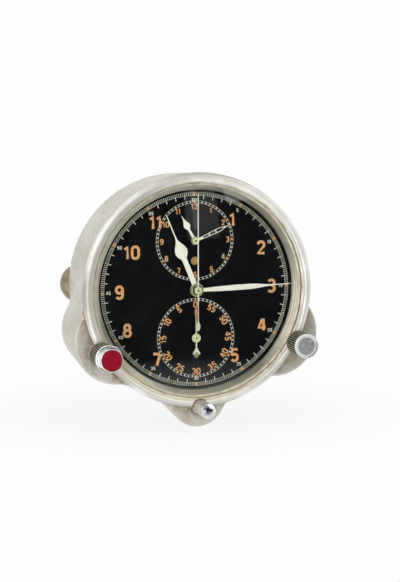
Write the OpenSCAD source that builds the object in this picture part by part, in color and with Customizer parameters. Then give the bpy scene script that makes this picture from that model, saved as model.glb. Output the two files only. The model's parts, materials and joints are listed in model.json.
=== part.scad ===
// Dashboard clock with a stop-seconds hand, a minute counter and an elapsed-time dial, as an assembly.
// The clock is drawn lying on its back, +Z out of the dial and +Y to 12 o'clock, and is then stood up
// so that the dial faces -Y and 12 o'clock is up. The origin is the middle of the rear face.

/* [Case] */
// Radius of the case at its front edge
case_r = 42; // [41:0.1:43]
// Radius of the case at its rear face
case_rear_r = 39.6; // [39:0.1:41]
// Depth of the case, from the rear face to the front ledge
case_depth = 31.2; // [31:0.05:31.4]
// Width of the broken edge round the front and the rear of the case
edge_break = 0.7; // [0.3:0.1:0.9]
// Radius of the chamber that holds the movement
chamber_r = 32.2; // [32.2:0.1:32.6]
// Radius of the two side lobes
side_lobe_r = 15.7; // [15:0.1:16.5]
// Distance of the side lobes' centres from the middle
side_lobe_dist = 34; // [33.5:0.1:34.5]
// Radius of the foot lobe under the pusher
foot_lobe_r = 10.2; // [9.5:0.1:11]
// Distance of the foot lobe's centre from the middle
foot_lobe_dist = 39.3; // [38.8:0.1:39.8]
// Radius of the hollow blends beside the lobes
lobe_blend = 8; // [5:0.5:12]

/* [Glass and dial] */
// Height of the dial's face above the rear face
dial_z = 28.7; // [28.6:0.05:28.8]
// Thickness of the dial plate
dial_t = 0.7; // [0.5:0.05:0.8]
// Radius of the dial plate
dial_r = 37.5; // [37.2:0.1:37.5]
// Inner radius of the black surround that edges the dial
surround_r = 34.95; // [34.6:0.05:35.2]
// Radius of the opening in the polished flange ring under the glass
opening_r = 35.9; // [35.7:0.05:36]
// Height of the crystal's crown above the dial's face
crystal_rise = 8.8; // [8.6:0.1:10]
// Thickness of the crystal
crystal_t = 1; // [0.8:0.1:1.1]
// Height of the rolled bezel's crest above the dial's face
bezel_rise = 5.6; // [5:0.1:6]
// Distance of both small dials' centres from the middle
small_dial_dist = 17.5; // [17.3:0.1:17.6]

/* [Controls] */
// Distance of the crowns and the pusher from the middle
control_dist = 42; // [42:1:42]
// Clock angle of the steel setting crown
steel_crown_angle = 119; // [118:0.5:120]
// Clock angle of the red winding crown
red_crown_angle = 240; // [239:0.5:241]
// Radius over the crowns' knurling
crown_r = 4.65; // [4.2:0.05:4.8]
// Number of ridges in a crown's knurling
crown_ridges = 36; // [30:2:60]
// Height of the crowns' lower edge above the dial's face
crown_foot = 6.3; // [6:0.1:7]
// Height of the steel crown's face above the dial's face
steel_crown_top = 15.9; // [14:0.1:17]
// Height of the red crown's face above the dial's face
red_crown_top = 21.3; // [20:0.1:23]
// Radius of the pusher
pusher_r = 2.72; // [2.5:0.02:2.74]
// Height of the pusher's shoulder above the dial's face
pusher_top = 15.2; // [14:0.1:17]
// Travel of the pusher
pusher_travel = 2; // [1:0.1:2]
// Distance that the steel crown pulls out to set the hands
pull_travel = 1.5; // [1.5:0.1:1.6]

/* [Hands] */
// Length of the hour hand
hour_len = 28.9; // [26:0.1:30]
// Length of the minute hand
minute_len = 34.8; // [32:0.1:34.8]
// Length of the stop-seconds hand
seconds_len = 34.8; // [32:0.1:34.8]
// Clock angle of the hour hand at rest
hour_angle = -22; // [-180:0.5:180]
// Clock angle of the minute hand at rest
minute_angle = 88.4; // [0:0.1:360]

/* [Rear fixing] */
// Radius of the rear studs
stud_r = 2; // [1.5:0.1:2]
// Distance of the rear studs from the middle
stud_dist = 34.8; // [34.8:0.1:35]
// Free length of the studs behind the rear face
stud_len = 13; // [10:0.5:20]
// Radius over the thumb nuts' knurling
nut_r = 7; // [5:0.1:7.5]
// Thickness of the thumb nuts' knurled head
nut_t = 4.3; // [3:0.1:5]

/* [Hidden] */
$fn = 96;
eps = 0.02;
// Running clearance, on the radius, of every arbor, stem and pusher
run = 0.05;
// Length of a cutter that passes right through the clock
through = 60;

// Heights above the rear face
cover_t = 2.5;
top_plate_z = 9;
plate_t = 2;
main_plate_z = 22.5;
web_z = main_plate_z + plate_t;
dial_seat_z = dial_z - dial_t;
surround_t = 0.8;
surround_z = dial_z + surround_t;
flange_top = dial_z + 3.9;
gasket_t = 0.2;
glass_z = flange_top + gasket_t;
glass_edge_t = 0.8;
glass_edge_r = 39.15;
seconds_hand_top = dial_z + 4.3;
web_opening_r = 29.5;

// Gears: centre distances follow from the modules and the tooth counts
motion_m = 0.25;
hour_m = 0.24;
cannon_teeth = 12;
minute_wheel_teeth = 36;
minute_pinion_teeth = 10;
hour_wheel_teeth = 40;
large_setting_teeth = 80;
small_setting_teeth = 36;
setting_pinion_teeth = 20;
minute_wheel_dist = motion_m * (cannon_teeth + minute_wheel_teeth) / 2;
large_setting_dist = minute_wheel_dist + motion_m * (minute_wheel_teeth + large_setting_teeth) / 2;
small_setting_dist = large_setting_dist + motion_m * (large_setting_teeth + small_setting_teeth) / 2;
motion_z = 24.7;
motion_t = 0.7;
pinion_level_z = 25.7;

winding_m = 0.5;
winding_pinion_teeth = 12;
winding_wheel_teeth = 26;
ratchet_teeth = 41;
winding_wheel_dist = control_dist - winding_m * (winding_pinion_teeth + winding_wheel_teeth) / 2;
winding_z = 6.6;
winding_t = 1.4;
winding_stud_r = 1.6;

barrel_m = 0.35;
barrel_teeth = 80;
centre_pinion_teeth = 10;
barrel_dist = barrel_m * (barrel_teeth + centre_pinion_teeth) / 2;
barrel_at = polar(barrel_dist, red_crown_angle);
barrel_z = 13.2;
barrel_h = 8.6;
barrel_drum_r = 13.2;
mainspring_z = barrel_z + 1.2;
mainspring_h = barrel_h - 2.7;

centre_m = 0.2;
centre_teeth = 80;
third_pinion_teeth = 10;
third_m = 0.16;
third_teeth = 75;
fourth_pinion_teeth = 10;
fourth_m = 0.15;
fourth_teeth = 80;
escape_pinion_teeth = 8;
third_dir = 60;
fourth_dir = 100;
escape_dir = 150;
fork_dir = 175;
fork_dist = 5.6;
balance_dir = 190;
balance_dist = 7.6;
third_at = polar(centre_m * (centre_teeth + third_pinion_teeth) / 2, third_dir);
fourth_at = third_at + polar(third_m * (third_teeth + fourth_pinion_teeth) / 2, fourth_dir);
escape_at = fourth_at + polar(fourth_m * (fourth_teeth + escape_pinion_teeth) / 2, escape_dir);
fork_at = escape_at + polar(fork_dist, fork_dir);
balance_at = fork_at + polar(balance_dist, balance_dir);
balance_r = 6.6;
escape_r = 3.5;

elapsed_dir = 60;
upper_at = [0, small_dial_dist];
lower_at = [0, -small_dial_dist];
counter_teeth = 60;
counter_r = 14;
counter_z = 4.2;

// Arbors: the fourth, third, escape, fork and balance arbors share one size of pivot
pivot_r = 0.4;
wheel_arbor_r = 0.5;
barrel_pivot_r = 1.5;
barrel_hub_r = 1.8;
centre_arbor_r = 1.05;
seconds_arbor_r = 0.45;
small_arbor_r = 0.6;
counter_hub_r = 0.8;
motion_stud_r = 0.5;
train_arbors = [third_at, fourth_at, escape_at, fork_at, balance_at];

// Pillars and screws
pillar_dist = 27.5;
pillar_angles = [25, 84, 172, 305];
pillar_r = 2.1;
plate_screw_r = 0.8;
plate_screw_head = [1.5, 0.9];
case_screw_dist = 30.9;
case_screw_angles = [0, 150, 285];
cover_screw_dist = 35;
cover_screw_angles = [30, 150, 210, 330];
cover_screw_r = 0.9;
cover_screw_head = [1.75, 1];
cover_screw_z = 1.1;
// Depth of the case screws' seats above the main plate
web_step = 1.6;

// Rear fixing: the free part of a stud starts a little behind its nut
stud_angles = [90, 270];
thread_r = stud_r - 0.2;
nut_washer_t = 0.5;
stud_free_z = nut_washer_t + nut_t + 0.2;
stud_seat = 10;

// Controls: places, tubes and stems, and how deep the bores for the tubes reach
steel_at = polar(control_dist, steel_crown_angle);
red_at = polar(control_dist, red_crown_angle);
pusher_at = [0.1, -41.9];
steel_bore_z = 14;
red_bore_z = 4;
pusher_bore_z = 10;
tube_r = 3.6;
tube_collar_r = 2.4;
stem_r = 1.5;
stem_pivot_r = 1;
knurl_depth = 0.38;
crown_foot_z = dial_z + crown_foot;
red_skirt_h = 9.4;
steel_stem_hold = 6;
sleeve_z = 16;
sleeve_h = 3.7;
red_disc_t = 0.9;
pusher_stem_r = 1.2;
setting_pinion_z = motion_z - pull_travel;
pusher_floor_z = 20;
pusher_low_z = pusher_floor_z + 3 + pusher_travel;
rocker_pivot = [-33.5, 14.5];
rocker_pin_r = 0.7;

// Windows in the dial, the flags that show in them, and the flags' pivots
upper_window = [0, 10.2];
lower_window = [0, -23.7];
upper_window_r = 1.5;
lower_window_r = 1.3;
flag_z = 27.1;
flag_t = 0.3;
flag_overlap = 0.15;
upper_flag_at = [6.5, 10.4];
lower_flag_at = [5.5, -20.6];

aluminium = "#d2cdc2";
steel = "#c4c6c6";
bright = "#dddddb";
brass = "#b58a4a";
black = "#15161a";
cream = "#f2ecdc";
orange = "#e0912f";
green = "#33583a";
red = "#9c1426";

function polar(r, a) = [r * sin(a), r * cos(a)];

// Points of an arc about c, from angle a to angle b, by the usual mathematical angle
function arc(c, r, a, b, n) = [for (i = [0:n]) let (t = a + (b - a) * i / n) c + r * [cos(t), sin(t)]];

// Four points of one tooth at mathematical angle t: root, tip, tip, root
function tooth(r, up, down, t, pitch, root_w, tip_w) = [
    for (k = [[-root_w, -down], [-tip_w, up], [tip_w, up], [root_w, -down]])
        (r + k[1]) * [cos(t + k[0] * pitch / 2), sin(t + k[0] * pitch / 2)]
];

function gear_points(m, teeth, facing, up, root_w, tip_w) = [
    for (i = [0:teeth - 1])
        let (pitch = 360 / teeth)
            for (p = tooth(m * teeth / 2, up * m, 1.3 * m, facing + i * pitch, pitch, root_w, tip_w)) p
];

// Stands the clock up and puts a piece at a place on its plane
module stand() {
    rotate([90, 0, 0]) children();
}

module at(p, z = 0) {
    translate([p[0], p[1], z]) children();
}

module ring(r_out, r_in, h, z = 0) {
    translate([0, 0, z]) difference() {
        cylinder(r = r_out, h = h);
        translate([0, 0, -1]) cylinder(r = r_in, h = h + 2);
    }
}

// A large wheel: broad teeth on a rim, with arms. It faces its mate with a tooth.
module wheel(m, teeth, facing, t, rim, hub, arms, bore) {
    inner = m * teeth / 2 - 1.3 * m - rim;
    linear_extrude(t) difference() {
        union() {
            difference() {
                polygon(gear_points(m, teeth, facing, 0.9, 0.52, 0.2));
                circle(r = inner);
            }
            circle(r = hub);
            for (i = [0:arms - 1]) rotate(i * 360 / arms + 13)
                translate([0, -hub * 0.3]) square([inner + rim / 2, hub * 0.6]);
        }
        circle(r = bore);
    }
}

// A small wheel cut from solid sheet. It faces its mate with a tooth.
module solid_wheel(m, teeth, facing, t, bore) {
    linear_extrude(t) difference() {
        polygon(gear_points(m, teeth, facing, 0.9, 0.52, 0.2));
        circle(r = bore);
    }
}

// A pinion: narrow leaves. It faces its mate with a gap.
module pinion(m, leaves, facing, t, bore) {
    linear_extrude(t) difference() {
        polygon(gear_points(m, leaves, facing + 180 / leaves, 0.6, 0.36, 0.2));
        circle(r = bore);
    }
}

// A knurled drum: straight ridges round a circle
module knurl(r, ridges, depth, h) {
    linear_extrude(h) polygon([
        for (i = [0:2 * ridges - 1])
            let (a = i * 180 / ridges) (r - depth * (i % 2)) * [cos(a), sin(a)]
    ]);
}

// A cheese-headed screw: the head is [radius, thickness], and the shank points down
module slotted_screw(head, shank_r, shank_len) {
    slot_w = head[0] * 0.26;
    difference() {
        union() {
            cylinder(r = head[0], h = head[1]);
            translate([0, 0, -shank_len]) cylinder(r = shank_r, h = shank_len);
        }
        translate([-head[0], -slot_w / 2, head[1] * 0.55]) cube([2 * head[0], slot_w, head[1]]);
    }
}

// The angle, by the mathematical rule, of a line from p to q
function toward(p, q) = atan2(q[1] - p[1], q[0] - p[0]);

module case_outline() {
    offset(r = -lobe_blend, $fn = 64) offset(delta = lobe_blend) {
        circle(r = case_r, $fn = 150);
        for (a = [120, 240]) at(polar(side_lobe_dist, a)) circle(r = side_lobe_r, $fn = 64);
        at(polar(foot_lobe_dist, 180)) circle(r = foot_lobe_r, $fn = 48);
    }
}

// The cast body: one outline that tapers to the rear, bored from both ends
module case_body() {
    taper = case_rear_r / case_r;
    color(aluminium) stand() difference() {
        union() {
            at([0, 0], case_depth - edge_break) {
                linear_extrude(edge_break, scale = (case_r - edge_break) / case_r) case_outline();
                mirror([0, 0, 1]) linear_extrude(case_depth - 2 * edge_break, scale = taper) case_outline();
            }
            at([0, 0], edge_break) mirror([0, 0, 1])
                linear_extrude(edge_break, scale = (case_rear_r - edge_break) / case_rear_r)
                    scale(taper) case_outline();
        }
        at([0, 0], -1) cylinder(r = dial_r, h = cover_t + 1);
        cylinder(r = chamber_r, h = web_z);
        cylinder(r = web_opening_r, h = case_depth);
        at([0, 0], dial_seat_z) cylinder(r = dial_r + 0.1, h = case_depth);
        at(red_at, red_bore_z) cylinder(r = tube_r, h = case_depth);
        at(steel_at, steel_bore_z) cylinder(r = tube_r, h = case_depth);
        at(pusher_at, pusher_bore_z) cylinder(r = tube_r, h = case_depth);
        for (a = stud_angles) at(polar(stud_dist, a)) cylinder(r = thread_r, h = stud_seat);
        for (a = cover_screw_angles)
            at(polar(cover_screw_dist, a)) cylinder(r = cover_screw_r, h = cover_t + 5);
        for (a = case_screw_angles) at(polar(case_screw_dist, a), web_z - 1) {
            cylinder(r = plate_screw_r + run, h = 5);
            translate([0, 0, 1 + web_step]) cylinder(r = plate_screw_head[0] + 0.1, h = 5);
        }
        at(red_at, red_bore_z - 1.1) cylinder(r = stem_pivot_r + run, h = 2);
        winding_pocket();
        setting_pocket();
        rocker_pocket();
    }
    color(aluminium) stand() {
        motion_stud(polar(small_setting_dist, steel_crown_angle), 2);
        at(polar(winding_wheel_dist, red_crown_angle)) {
            at([0, 0], winding_z - 0.4) cylinder(r = winding_stud_r, h = 3);
            at([0, 0], 9.2) cylinder(r = winding_stud_r + 0.4, h = 3);
        }
    }
}

// Room for the winding wheel, behind the top plate
module winding_pocket() {
    at(polar(winding_wheel_dist, red_crown_angle), 5.6) cylinder(r = 7.3, h = 3.6);
    at(red_at, red_bore_z) cylinder(r = tube_r, h = 5.2);
}

// Room for the setting wheels and the sliding pinion, under the dial
module setting_pocket() {
    at(polar(large_setting_dist, steel_crown_angle), web_z - eps) cylinder(r = 10.7, h = 2.1);
    at(polar(small_setting_dist, steel_crown_angle), web_z - eps) cylinder(r = 5.1, h = 2.1);
    at(steel_at, 19.5) cylinder(r = tube_r, h = 8.1);
}

// Slot through the wall for the rocker, with holes for its trunnions
module rocker_pocket() {
    translate([-2.6, -44, 10]) cube([5.2, 14, 9]);
    translate([-4.6, rocker_pivot[0], rocker_pivot[1]]) rotate([0, 90, 0])
        cylinder(r = rocker_pin_r + run, h = 9.2);
}

module rear_cover() {
    color(aluminium) stand() difference() {
        cylinder(r = dial_r - 0.1, h = cover_t);
        ring(28.4, 27.6, 1.3, -1);
        for (a = stud_angles) at(polar(stud_dist, a), -1) cylinder(r = thread_r + 0.15, h = 5);
        for (a = cover_screw_angles) at(polar(cover_screw_dist, a), -1) {
            cylinder(r = cover_screw_r + 0.2, h = 5);
            cylinder(r = cover_screw_head[0] + 0.15, h = cover_screw_z + 1);
        }
    }
}

module rear_cover_screws() {
    color(steel) stand() for (a = cover_screw_angles) at(polar(cover_screw_dist, a), cover_screw_z)
        mirror([0, 0, 1]) slotted_screw(cover_screw_head, cover_screw_r, 5);
}

// Studs screwed into the case. Where thread meets thread, both are drawn at the pitch radius.
module rear_studs() {
    color(steel) stand() for (a = stud_angles) at(polar(stud_dist, a), -stud_len) {
        cylinder(r = stud_r, h = stud_len - stud_free_z);
        cylinder(r = thread_r, h = stud_len + stud_seat);
        mirror([0, 0, 1]) cylinder(r1 = stud_r, r2 = stud_r - 0.5, h = 0.5);
    }
}

// Knurled nuts with a washer face in front and a turned recess behind
module thumb_nuts() {
    color(brass) stand() for (a = stud_angles) at(polar(stud_dist, a)) difference() {
        union() {
            mirror([0, 0, 1]) cylinder(r = nut_r - 2, h = nut_washer_t);
            translate([0, 0, -nut_washer_t - nut_t]) knurl(nut_r, 48, 0.3, nut_t);
        }
        translate([0, 0, -20]) cylinder(r = thread_r, h = 30);
        translate([0, 0, -nut_washer_t - nut_t - 1]) cylinder(r = nut_r - 2.2, h = 1.7);
    }
}

// The rolled outer bezel, cut away round the controls. Its lip holds the glass down.
module bezel_ring() {
    crest = dial_z + bezel_rise;
    roll = 1.5;
    outside = case_r + 0.15;
    glass_seat = glass_edge_r + 0.05;
    foot_bore = glass_seat - 1.15;
    lip = glass_z + glass_edge_t + 0.05;
    color(bright) stand() difference() {
        rotate_extrude($fn = 180) polygon(concat(
            [[foot_bore, case_depth], [outside, case_depth], [outside, crest - 2.2]],
            arc([outside - 0.05 - roll, crest - roll], roll, 0, 130, 10),
            [[glass_seat - 0.22, lip + 0.3], [glass_seat - 0.22, lip], [glass_seat, lip]],
            [[glass_seat, case_depth + 0.5], [foot_bore, case_depth + 0.5]]
        ));
        for (place = [red_at, steel_at]) at(place) cylinder(r = tube_collar_r + 0.5, h = through);
        at([0, -control_dist]) cylinder(r = 3.1, h = through);
    }
}

module bezel_pins() {
    color(bright) stand() for (a = [186.2, 191.2]) at(polar(42.8, a), case_depth)
        rotate_extrude($fn = 24) polygon([[0, 0], [0.42, 0], [0.36, 0.25], [0.2, 0.36], [0, 0.4]]);
}

// The polished ring under the glass, which slopes up from the dial's opening to the edge of the glass
module flange_ring() {
    color(bright) stand() rotate_extrude($fn = 180) polygon([
        [dial_r, surround_z], [dial_r, case_depth + 0.7], [38.9, case_depth + 0.7], [38.9, flange_top],
        [38.25, flange_top], [37.7, flange_top - 0.4], [36.9, flange_top - 1.1], [36.2, flange_top - 1.75],
        [opening_r, surround_z + 0.95], [opening_r, surround_z]
    ]);
}

// The domed glass: a shallow shell of a sphere with a flat edge
module crystal() {
    foot = glass_z + glass_edge_t;
    rise = dial_z + crystal_rise - foot;
    r_foot = 38.7;
    ball = (r_foot * r_foot + rise * rise) / (2 * rise);
    half = asin(r_foot / ball);
    middle = [0, foot + rise - ball];
    inner = asin((r_foot - 0.6) / (ball - crystal_t));
    color("lightblue", 0.3) stand() rotate_extrude($fn = 180) polygon(concat(
        arc(middle, ball, 90, 90 - half, 20),
        [[glass_edge_r, foot], [glass_edge_r, glass_z], [r_foot - 0.6, glass_z]],
        arc(middle, ball - crystal_t, 90 - inner, 90, 20)
    ));
}

module crystal_gasket() {
    color(black) stand() ring(38.9, 38.3, gasket_t, flange_top);
}

module dial_surround() {
    color(black) stand() rotate_extrude($fn = 180) polygon([
        [surround_r, dial_z], [surround_r + 0.15, surround_z - 0.3], [surround_r + 0.3, surround_z],
        [dial_r, surround_z], [dial_r, dial_z]
    ]);
}

module dial_plate() {
    color(black) stand() difference() {
        at([0, 0], dial_seat_z) cylinder(r = dial_r, h = dial_t, $fn = 180);
        cylinder(r = 2.5, h = through);
        at(upper_at) cylinder(r = 1.5, h = through);
        at(lower_at) cylinder(r = 1.1, h = through);
        at(upper_window) cylinder(r = upper_window_r, h = through);
        at(lower_window) cylinder(r = lower_window_r, h = through);
    }
}

// Bushes pressed into the lobes, which guide the stems of the crowns
module crown_tubes() {
    color(bright) stand() for (place = [[red_at, 9.6], [steel_at, 28]]) at(place[0]) difference() {
        union() {
            at([0, 0], place[1]) cylinder(r = tube_r, h = case_depth - place[1]);
            at([0, 0], case_depth) cylinder(r = tube_collar_r, h = crown_foot_z - case_depth - 0.3);
        }
        cylinder(r = stem_r + run, h = through);
    }
}

// Sleeve that guides the pusher and carries its spring
module pusher_tube() {
    color(bright) stand() at(pusher_at) difference() {
        at([0, 0], pusher_floor_z - 1) cylinder(r = tube_r, h = case_depth - pusher_floor_z + 1);
        at([0, 0], pusher_floor_z) cylinder(r = pusher_r + run, h = 30);
        cylinder(r = pusher_stem_r + run, h = 30);
    }
}

// Knurled skirt of the red crown
module red_crown() {
    color(steel) stand() at(red_at, crown_foot_z) difference() {
        knurl(crown_r + 0.05, crown_ridges, knurl_depth, red_skirt_h);
        translate([0, 0, -1]) cylinder(r = stem_r, h = 30);
    }
}

// Bright flange and shoulder on top of the skirt
module red_crown_cap() {
    foot = crown_foot_z + red_skirt_h;
    top = dial_z + red_crown_top;
    recess = top - red_disc_t;
    color(bright) stand() at(red_at) rotate_extrude() polygon([
        [0, foot], [4.6, foot], [4.85, foot + 0.25], [4.85, foot + 1.4], [4.65, foot + 1.6],
        [4.25, foot + 1.6], [4.15, foot + 1.75], [4.3, foot + 1.9], [4.3, foot + 3.4], [4.12, top - 0.4],
        [4, top - 0.15], [3.72, top - 0.15], [3.72, recess], [0, recess]
    ]);
}

module red_crown_disc() {
    top = dial_z + red_crown_top;
    color(red) stand() at(red_at) rotate_extrude() polygon([
        [0, top - red_disc_t], [3.7, top - red_disc_t], [3.7, top - 0.15], [3.45, top], [0, top + 0.12]
    ]);
}

// Stem of the winding crown, with the pinion that drives the winding wheel
module winding_stem() {
    tip = red_bore_z - 1;
    shoulder = winding_z + winding_t;
    color(steel) stand() at(red_at) {
        at([0, 0], tip) cylinder(r = stem_pivot_r, h = winding_z - tip);
        at([0, 0], shoulder) cylinder(r = stem_r, h = crown_foot_z + red_skirt_h - shoulder);
        at([0, 0], winding_z)
            pinion(winding_m, winding_pinion_teeth, 90 - red_crown_angle + 180, winding_t, 0.001);
        at([0, 0], winding_z) cylinder(r = stem_r + 0.4, h = winding_t + 1.4);
    }
}

// Steel crown with a raised rim round a flat face
module steel_crown() {
    top = dial_z + steel_crown_top;
    rim_h = 0.35;
    color(steel) stand() at(steel_at) difference() {
        union() {
            at([0, 0], crown_foot_z) knurl(crown_r, crown_ridges, knurl_depth, top - crown_foot_z - rim_h);
            at([0, 0], top - rim_h - eps) cylinder(r1 = crown_r - knurl_depth - 0.05, r2 = 4.05, h = rim_h + eps);
        }
        // Groove inside the teeth, and the sunk face inside its thin rim
        ring(3.8, 3.4, 1, top - 0.4);
        at([0, 0], top - 0.3) cylinder(r = 3.15, h = 1);
        at([0, 0], crown_foot_z - 1) cylinder(r = stem_r, h = steel_stem_hold + 1);
    }
}

// Stem of the setting crown. Its pinion slides into the small setting wheel.
module setting_stem() {
    shoulder = sleeve_z + sleeve_h + 0.1;
    color(steel) stand() at(steel_at) {
        at([0, 0], sleeve_z - 0.1) cylinder(r = stem_pivot_r, h = sleeve_h + 0.3);
        at([0, 0], sleeve_z - 0.5) cylinder(r = stem_r, h = 0.4);
        at([0, 0], shoulder) cylinder(r = stem_r, h = crown_foot_z + steel_stem_hold - shoulder);
        at([0, 0], setting_pinion_z)
            pinion(motion_m, setting_pinion_teeth, 90 - steel_crown_angle + 180, 1.2, 0.001);
    }
}

// Grooved sleeve at the end of the setting stem, which slides with it and lets it turn
module setting_sleeve() {
    color(brass) stand() at(steel_at) difference() {
        at([0, 0], sleeve_z) cylinder(r = 2.6, h = sleeve_h);
        cylinder(r = stem_pivot_r + run, h = 30);
        ring(3, 2.1, 1, sleeve_z + 1.3);
    }
}

module pusher() {
    top = dial_z + pusher_top;
    tip = pusher_floor_z - 3;
    stop = pusher_floor_z - 1.05;
    dome_drop = 3.35;
    color(bright) stand() at(pusher_at) rotate_extrude() polygon(concat(
        [[0, tip], [pusher_stem_r, tip], [pusher_stem_r, stop - 0.55], [1.9, stop - 0.55], [1.9, stop]],
        [[pusher_stem_r, stop], [pusher_stem_r, pusher_low_z], [pusher_r, pusher_low_z], [pusher_r, top]],
        arc([0, top - dome_drop], norm([pusher_r, dome_drop]), atan(dome_drop / pusher_r), 90, 8)
    ));
}

// Coil spring under the pusher: a round wire wound as one unbroken tube
module pusher_spring() {
    turns = 6;
    wire = 0.25;
    coil_r = 1.95;
    low = pusher_floor_z + wire;
    high = pusher_low_z - wire;
    color(steel) stand() at(pusher_at) coil(coil_r, wire, turns, low, high);
}

function coil_centre(r, turns, low, high, s) =
    [r * cos(360 * turns * s), r * sin(360 * turns * s), low + (high - low) * s];

module coil(r, wire, turns, low, high) {
    steps = turns * 16;
    sides = 6;
    lead = (high - low) / turns / (2 * PI * r);
    points = [
        for (i = [0:steps])
            let (s = i / steps, a = 360 * turns * s, c = coil_centre(r, turns, low, high, s))
            for (k = [0:sides - 1]) let (t = k * 360 / sides)
                c + wire * (cos(t) * [cos(a), sin(a), 0] + sin(t) * [lead * sin(a), -lead * cos(a), 1])
    ];
    walls = [
        for (i = [0:steps - 1]) for (k = [0:sides - 1])
            let (a = i * sides + k, b = i * sides + (k + 1) % sides)
                for (f = [[a, a + sides, b], [b, a + sides, b + sides]]) f
    ];
    ends = [[for (k = [0:sides - 1]) k], [for (k = [sides - 1:-1:0]) steps * sides + k]];
    polyhedron(points, concat(walls, ends));
}

// Rocker that carries the pusher's stroke through the wall to the movement
module operating_rocker() {
    y = rocker_pivot[0];
    z = rocker_pivot[1];
    color(steel) stand() translate([0, y, z]) rotate([0, 90, 0]) {
        cylinder(r = 1.8, h = 2.4, center = true);
        cylinder(r = rocker_pin_r, h = 8.8, center = true);
        translate([-1.8, -9.6, -1.2]) cube([1.4, 9.6, 2.4]);
        translate([-0.7, 0, -1.2]) cube([1.4, 4.6, 2.4]);
    }
}

module main_plate() {
    color(brass) stand() {
        difference() {
            at([0, 0], main_plate_z) cylinder(r = chamber_r - 0.2, h = plate_t);
            cylinder(r = centre_arbor_r + run, h = through);
            arbor_hole(upper_at, small_arbor_r);
            arbor_hole(lower_at, small_arbor_r);
            arbor_hole(barrel_at, barrel_pivot_r);
            for (p = train_arbors) arbor_hole(p, pivot_r);
            for (a = pillar_angles) at(polar(pillar_dist, a)) cylinder(r = plate_screw_r, h = through);
            for (a = case_screw_angles)
                at(polar(case_screw_dist, a)) cylinder(r = plate_screw_r, h = through);
        }
        motion_stud(polar(minute_wheel_dist, steel_crown_angle), 3);
        motion_stud(polar(large_setting_dist, steel_crown_angle), 2);
        motion_stud(upper_at + polar(minute_wheel_dist, elapsed_dir), 3);
        motion_stud(upper_flag_at, 3.4);
        motion_stud(lower_flag_at, 3.4);
    }
}

module arbor_hole(p, r) {
    at(p) cylinder(r = r + run, h = through, $fn = 32);
}

// A fixed stud, driven into the plate or the case, on which a wheel of the motion work turns
module motion_stud(p, h) {
    at(p, web_z - 1) cylinder(r = motion_stud_r, h = h + 1, $fn = 32);
}

module top_plate() {
    color(brass) stand() difference() {
        at([0, 0], top_plate_z) cylinder(r = chamber_r - 2, h = plate_t);
        cylinder(r = centre_arbor_r + run, h = through);
        arbor_hole(upper_at, small_arbor_r);
        arbor_hole(lower_at, counter_hub_r);
        arbor_hole(barrel_at, barrel_pivot_r);
        for (p = train_arbors) arbor_hole(p, pivot_r);
        for (a = pillar_angles) at(polar(pillar_dist, a)) cylinder(r = plate_screw_r, h = through);
    }
}

module pillars() {
    low = top_plate_z + plate_t;
    color(brass) stand() for (a = pillar_angles) at(polar(pillar_dist, a), low) difference() {
        cylinder(r = pillar_r, h = main_plate_z - low);
        translate([0, 0, -1]) cylinder(r = plate_screw_r, h = 20);
    }
}

module pillar_screws() {
    color(steel) stand() for (a = pillar_angles) at(polar(pillar_dist, a)) {
        at([0, 0], top_plate_z) mirror([0, 0, 1]) slotted_screw(plate_screw_head, plate_screw_r, 5);
        at([0, 0], main_plate_z + plate_t) slotted_screw(plate_screw_head, plate_screw_r, 5);
    }
}

module case_screws() {
    color(steel) stand() for (a = case_screw_angles) at(polar(case_screw_dist, a), web_z + web_step)
        slotted_screw(plate_screw_head, plate_screw_r, 3.4);
}

// Spring barrel: a toothed drum with a lid, round the mainspring
module barrel() {
    teeth_t = 1.2;
    color(brass) stand() at(barrel_at) difference() {
        union() {
            at([0, 0], barrel_z) cylinder(r = barrel_drum_r, h = barrel_h);
            at([0, 0], barrel_z + barrel_h - teeth_t)
                linear_extrude(teeth_t)
                    polygon(gear_points(barrel_m, barrel_teeth, toward(barrel_at, [0, 0]), 0.9, 0.52, 0.2));
        }
        at([0, 0], barrel_z + 0.9) cylinder(r = barrel_drum_r - 1, h = barrel_h - 2.1);
        cylinder(r = barrel_hub_r + run, h = through);
    }
}

// A flat spiral strip of the given turns, from radius a out to radius b
function spiral(a, b, turns, t, steps) = concat(
    [for (i = [0:steps]) let (s = i / steps)
        (a + (b - a) * s) * [cos(360 * turns * s), sin(360 * turns * s)]],
    [for (i = [steps:-1:0]) let (s = i / steps)
        (a + t + (b - a) * s) * [cos(360 * turns * s), sin(360 * turns * s)]]
);

module mainspring() {
    color(steel) stand() at(barrel_at, mainspring_z)
        linear_extrude(mainspring_h) polygon(spiral(3.2, 11.9, 8, 0.3, 144));
}

module barrel_arbor() {
    color(steel) stand() at(barrel_at) {
        at([0, 0], winding_z - 1) cylinder(r = barrel_pivot_r, h = web_z - winding_z + 0.5);
        at([0, 0], top_plate_z + plate_t + 0.15)
            cylinder(r = barrel_hub_r, h = main_plate_z - top_plate_z - plate_t - 0.3);
        at([0, 0], mainspring_z) cylinder(r = 3, h = mainspring_h);
    }
}

module ratchet_wheel() {
    facing = toward(barrel_at, red_at) + 180 / ratchet_teeth;
    color(steel) stand() at(barrel_at, winding_z) difference() {
        solid_wheel(winding_m, ratchet_teeth, facing, winding_t, barrel_pivot_r);
        translate([0, 0, -0.01]) ring(7.5, 4, 0.3);
    }
}

module winding_wheel() {
    place = polar(winding_wheel_dist, red_crown_angle);
    color(steel) stand() at(place, winding_z)
        solid_wheel(winding_m, winding_wheel_teeth, toward(place, barrel_at), winding_t,
            winding_stud_r + run);
}

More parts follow.
